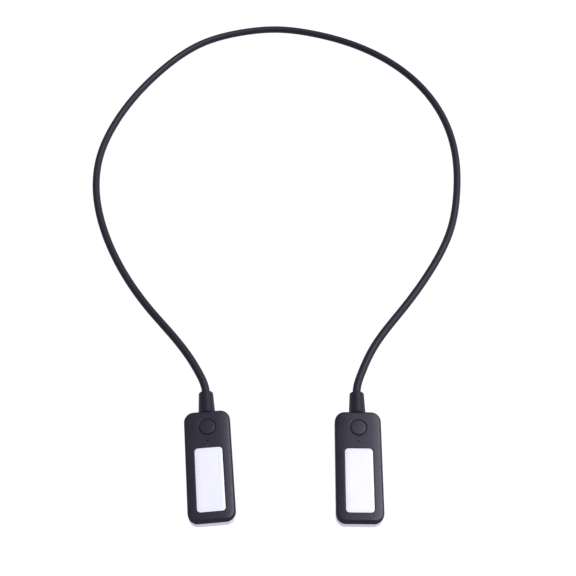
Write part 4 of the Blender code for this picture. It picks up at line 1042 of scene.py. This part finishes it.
# %% [markdown]
# The charging socket is a thin drawn shell with long round ends. A tongue stands in its mouth with
# a row of gold contacts above and below. The row is laid by the same tree as the screws.

# %% Charging socket
SOCKET_RECESS, SOCKET_EASE = 0.0002, 0.0001
SOCKET_MOUTH = HEAD_WIDTH / 2 - SOCKET_RECESS
SOCKET_BACK = SOCKET_MOUTH - SOCKET_DEPTH
TONGUE_WIDTH, TONGUE_THICKNESS, TONGUE_SETBACK = 0.0067, 0.0007, 0.0008
TONGUE_TIP = SOCKET_MOUTH - TONGUE_SETBACK
CONTACTS, CONTACT_PITCH, CONTACT_SETBACK = 12, 0.0005, 0.0002
CONTACT_LENGTH, CONTACT_WIDTH, CONTACT_PROUD = 0.0030, 0.00026, 0.00003


def socket_shell(side):
    mesh = bmesh.new()
    loft(mesh, [socket_ring(0.0, SOCKET_BACK), socket_ring(0.0, SOCKET_MOUTH - SOCKET_EASE),
                socket_ring(-SOCKET_EASE, SOCKET_MOUTH), socket_ring(-SOCKET_SHELL, SOCKET_MOUTH),
                socket_ring(-SOCKET_SHELL, SOCKET_BACK + 2 * SOCKET_SHELL)])
    piece = settle(make_object(f"{side}_socket_shell", mesh, FINISHES["socket_steel"]))
    return fit(piece, side, "head", "socket_steel", "charging_socket")


def socket_tongue(side):
    mesh = bmesh.new()
    block(mesh, (SOCKET_BACK + 3 * SOCKET_SHELL, TONGUE_TIP),
          (SOCKET_Y - TONGUE_WIDTH / 2, SOCKET_Y + TONGUE_WIDTH / 2),
          (SOCKET_MIDDLE_Z - TONGUE_THICKNESS / 2, SOCKET_MIDDLE_Z + TONGUE_THICKNESS / 2))
    bmesh.ops.bevel(mesh, geom=mesh.edges[:], offset=SOCKET_EASE, segments=2, affect="EDGES")
    piece = settle(make_object(f"{side}_socket_tongue", mesh, FINISHES["button_plastic"]))
    return fit(piece, side, "head", "black_insulation")


def contact_master():
    mesh = bmesh.new()
    block(mesh, *((-size / 2, size / 2) for size in (CONTACT_LENGTH, CONTACT_WIDTH, 2 * CONTACT_PROUD)))
    return settle(make_object("contact_master", mesh, FINISHES["contact_gold"]))


CONTACT = contact_master()


def socket_contacts(side):
    rows = [(TONGUE_TIP - CONTACT_SETBACK - CONTACT_LENGTH / 2,
             SOCKET_Y + (n - (CONTACTS - 1) / 2) * CONTACT_PITCH,
             SOCKET_MIDDLE_Z + face * TONGUE_THICKNESS / 2) for face in (-1, 1) for n in range(CONTACTS)]
    piece = run_tree(f"{side}_socket_contacts", line_mesh("contact_points", rows), COPIES_ON_POINTS,
                     "contact_gold", Copy=CONTACT, Size=1.0)
    return fit(piece, side, "head", "brass")


make_pair(socket_shell, socket_tongue, socket_contacts)
bpy.data.objects.remove(CONTACT)

# %% [markdown]
# The neck keeps whatever curve it is bent to, so its route is a design of its own. It is written
# as shares of the loop's half width and length, from one boot to the other, and a cubic spline
# with even curvature runs through them. Hand-set handles could draw the same curve, but shares
# keep the shape when the loop's size changes.

# %% The neck's route
LOOP_HALF_WIDTH, LOOP_LENGTH = 0.1201, 0.2932
HEADS_IN_LOOP = {"left": Vector((-0.0393, -0.0115)), "right": Vector((0.0470, -0.01185))}
ROUTE_SHARES = [
    (-0.375, 0.05), (-0.45, 0.10), (-0.645, 0.20), (-0.81, 0.30), (-0.925, 0.40), (-0.99, 0.50),
    (-0.995, 0.60), (-0.93, 0.70), (-0.805, 0.80), (-0.68, 0.87), (-0.45, 0.955), (-0.22, 0.99),
    (0.0, 1.0),
    (0.22, 0.985), (0.45, 0.95), (0.725, 0.87), (0.86, 0.80), (0.965, 0.70), (1.0, 0.60),
    (0.985, 0.50), (0.93, 0.40), (0.81, 0.30), (0.645, 0.20), (0.475, 0.10), (0.42, 0.05),
]
SAMPLES, SETTLE_LENGTH = 240, 0.110


def smooth_curve(points, first, last):
    """A cubic spline with even curvature through the points, with its end directions given."""
    points = np.array(points)
    spans = np.linalg.norm(np.diff(points, axis=0), axis=1)
    count = len(points)
    system, wanted = np.zeros((count, count)), np.zeros((count, 2))
    system[0, 0] = system[-1, -1] = 1
    wanted[0], wanted[-1] = first, last
    for i in range(1, count - 1):
        before, after = spans[i - 1], spans[i]
        system[i, i - 1:i + 2] = after, 2 * (before + after), before
        wanted[i] = 3 * (after * (points[i] - points[i - 1]) / before
                         + before * (points[i + 1] - points[i]) / after)
    slopes = np.linalg.solve(system, wanted)
    curve = [points[0]]
    for i, span in enumerate(spans):
        for t in np.linspace(0, 1, SAMPLES + 1)[1:]:
            curve.append((1 + 2 * t) * (1 - t) ** 2 * points[i] + t * (1 - t) ** 2 * span * slopes[i]
                         + t * t * (3 - 2 * t) * points[i + 1] - t * t * (1 - t) * span * slopes[i + 1])
    return np.array(curve)


SHIFT = PLACES["left"].translation.to_2d() - HEADS_IN_LOOP["left"]
AHEADS = {side: np.array((-math.sin(turn), math.cos(turn))) for side, turn in HEAD_TURNS.items()}
MOUTHS = {side: np.array(HEADS_IN_LOOP[side] + SHIFT) + AHEADS[side] * BOOT_LENGTH for side in SIDES}
route = [(x * LOOP_HALF_WIDTH + SHIFT.x, y * LOOP_LENGTH + SHIFT.y) for x, y in ROUTE_SHARES]
CURVE = smooth_curve([MOUTHS["left"], *route, MOUTHS["right"]], AHEADS["left"], -AHEADS["right"])
ARCS = np.concatenate([[0.0], np.cumsum(np.linalg.norm(np.diff(CURVE, axis=0), axis=1))])
NECK_LENGTH = float(ARCS[-1])
print("neck from mouth to mouth", round(1000 * NECK_LENGTH, 1), "mm")

# %% [markdown]
# A place on the neck is found by its length from one of the mouths. Inside the boot the neck is
# straight and level with the head's middle. Then it sinks gently until it lies on the table. It
# bends at four zones on each side, so it is cut into stretches that meet exactly where a zone
# begins.

# %% Places along the neck
TWIST_ZONE, TILT_ZONE, ZONE_LENGTH = (0.002, 0.022), (0.022, 0.062), 0.050
SLEEVE_START, WIRE_START = -BOOT_LENGTH - 0.0026, -BOOT_LENGTH - 0.0066


def neck_point(side, along):
    if along < 0:
        spot, level = MOUTHS[side] + AHEADS[side] * along, 0.0
    else:
        arc = along if side == "left" else NECK_LENGTH - along
        spot = (np.interp(arc, ARCS, CURVE[:, 0]), np.interp(arc, ARCS, CURVE[:, 1]))
        level = min(min(along, NECK_LENGTH - along) / SETTLE_LENGTH, 1.0)
    sink = level * level * (3 - 2 * level)
    return Vector((*spot, NECK_AXIS + (SLEEVE_RADIUS - NECK_AXIS) * sink))


def widest(side):
    """Length from that mouth to where its side of the loop is widest."""
    sign = -1 if side == "left" else 1
    arc = float(ARCS[int(np.argmax(sign * CURVE[:, 0]))])
    return arc if side == "left" else NECK_LENGTH - arc


def stretches(side):
    """Each stretch of that side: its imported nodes, its two lengths, its bodies and its bending zone."""
    fold = widest(side) - ZONE_LENGTH / 2
    spread, back = fold + ZONE_LENGTH, fold + 2 * ZONE_LENGTH
    return [
        ("collar", ("end", "twist"), (SLEEVE_START, TWIST_ZONE[1]), ("head", "wrist"), TWIST_ZONE),
        ("arm", ("tilt", "arm"), (TILT_ZONE[0], fold), ("wrist", "arm"), TILT_ZONE),
        ("bend", ("fold",), (fold, spread), ("arm", "shoulder"), (fold, spread)),
        ("shoulder", ("spread",), (spread, back), ("shoulder", "root"), (spread, back)),
    ]


print("widest at", {side: round(1000 * widest(side), 1) for side in SIDES}, "mm from the mouths")

# %% [markdown]
# The neck is a silicone tube over a soft wire, and both follow the same path. A Geometry Nodes tree
# turns a line of points into a curve, spaces it evenly and sweeps a circle along it. Its inputs are
# the radius, the spacing and the number of sides, so one tree makes the sleeve and the wire. A
# Solidify modifier then gives the sleeve its wall and its bore.

# %% Geometry Nodes: a tube along a path
SLEEVE_WALL, WIRE_RADIUS = 0.00115, 0.0009
SLEEVE_SIDES, WIRE_SIDES = 36, 14
RING_SPACING, PATH_STEP = 0.0010, 0.00025


def make_tube_tree():
    tree, given = new_modifier_tree("tube_along_path", {
        "Radius": "NodeSocketFloat", "Spacing": "NodeSocketFloat", "Sides": "NodeSocketInt",
        "Closed Ends": "NodeSocketBool", "Finish": "NodeSocketMaterial"})
    path = add(tree, "GeometryNodeMeshToCurve", {"Mesh": given["Geometry"]})
    even = add(tree, "GeometryNodeResampleCurve", {"Curve": path.outputs["Curve"],
                                                   "Length": given["Spacing"]}, mode="LENGTH")
    ring = add(tree, "GeometryNodeCurvePrimitiveCircle", {"Resolution": given["Sides"],
                                                          "Radius": given["Radius"]})
    tube = add(tree, "GeometryNodeCurveToMesh", {
        "Curve": even.outputs["Curve"], "Profile Curve": ring.outputs["Curve"],
        "Fill Caps": given["Closed Ends"]})
    return end_tree(tree, given, tube.outputs["Mesh"])


TUBE_ALONG_PATH = make_tube_tree()


def neck_tube(name, side, start, end, radius, sides, wall, finish):
    count = math.ceil((end - start) / PATH_STEP)
    points = [neck_point(side, start + (end - start) * n / count) for n in range(count + 1)]
    path = line_mesh("neck_path", points, [(n, n + 1) for n in range(count)])
    piece = run_tree(name, path, TUBE_ALONG_PATH, finish, Radius=radius, Spacing=RING_SPACING,
                     Sides=sides, Closed_Ends=wall == 0.0)
    if wall:
        solid = piece.modifiers.new("Wall", "SOLIDIFY")
        solid.thickness, solid.offset = wall, -1.0
        settle(piece)
    mesh = bmesh.new()
    mesh.from_mesh(piece.data)
    bmesh.ops.recalc_face_normals(mesh, faces=mesh.faces)
    mesh.to_mesh(piece.data)
    mesh.free()
    settle(piece)
    store(piece, "rest_place", [v.co for v in piece.data.vertices], "FLOAT_VECTOR")
    return piece


# %% [markdown]
# Each stretch of sleeve and wire is made once, at rest, and stands for its imported nodes.
# The stretches meet end to end, so the joins don't show.

# %% Sleeve and wire
LAYERS = {
    "sleeve": {"radius": SLEEVE_RADIUS, "sides": SLEEVE_SIDES, "wall": SLEEVE_WALL, "finish": "silicone"},
    "wire": {"radius": WIRE_RADIUS, "sides": WIRE_SIDES, "wall": 0.0, "finish": "wire_metal"},
}


total = 0
for side in SIDES:
    for part, nodes, (start, end), bodies, zone in stretches(side):
        for layer, sizes in LAYERS.items():
            first = WIRE_START if (part, layer) == ("collar", "wire") else start
            piece = neck_tube(f"{side}_{layer}_{part}", side, first, end, **sizes)
            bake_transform(piece)
            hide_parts(*(f"{side}_neck_{layer}_{node}" for node in nodes))
            total += len(piece.data.polygons)

left_back, right_back = (stretches(side)[-1][2][1] for side in SIDES)
for layer, sizes in LAYERS.items():
    piece = neck_tube(f"{layer}_back", "left", left_back, NECK_LENGTH - right_back, **sizes)
    hand_over(piece, "root", sizes["finish"], f"neck_{layer}_back")
    total += len(piece.data.polygons)
print("neck", total, "faces")

# %% [markdown]
# The inner pieces hardly show, but the model can be opened up, so each has its own finish too:
# a green board with faint copper tracks, a foil pouch cell, insulated leads, brass and steel.

# %% Finishes of the inner pieces
BLACK, WHITE = (0.0, 0.0, 0.0, 1.0), (1.0, 1.0, 1.0, 1.0)
BOARD_GREEN, TRACK_GREEN, BOARD_ROUGH = (0.015, 0.13, 0.055), (0.04, 0.24, 0.09), (0.34, 0.42)
TRACK_SCALE, TRACK_WIDTH, TRACK_HEIGHT = 160.0, 0.06, 0.00002


def board_green():
    tree = new_material("board_green")
    tracks = add(tree, "ShaderNodeTexBrick", {
        "Vector": place_socket(tree), "Scale": TRACK_SCALE, "Mortar Size": TRACK_WIDTH,
        "Color1": BLACK, "Color2": BLACK, "Mortar": WHITE}).outputs
    dress(tree, two_colours(tree, tracks["Color"], BOARD_GREEN, TRACK_GREEN),
          ranged(tree, tracks["Fac"], *BOARD_ROUGH), tracks["Fac"], TRACK_HEIGHT)


board_green()
metal("battery_foil", (0.62, 0.64, 0.66), 0.42, line=0.0022)
moulded("red_insulation", (0.46, 0.02, 0.02), (0.55, 0.03, 0.03), (0.42, 0.50), 0.0002, 0.00001)
moulded("black_insulation", (0.017, 0.017, 0.018), (0.022, 0.022, 0.023), (0.42, 0.50), 0.0002, 0.00001)
FINISHES["diffuser_plastic"] = FINISHES["milky_plastic"]
FINISHES["clear_plastic"] = FINISHES["smoked_plastic"]
for row in frame["record"]["subparts"]:
    data = frame["nodes"][row["node"]].data
    data.materials.clear()
    data.materials.append(FINISHES[row["material_slot"]])
shown = sorted(name for name, node in frame["nodes"].items() if not node.hide_render)
print("packed nodes that stay", len(shown), shown[:6])

# %% [markdown]
# Nothing more is built after this point.

# %% End
import json
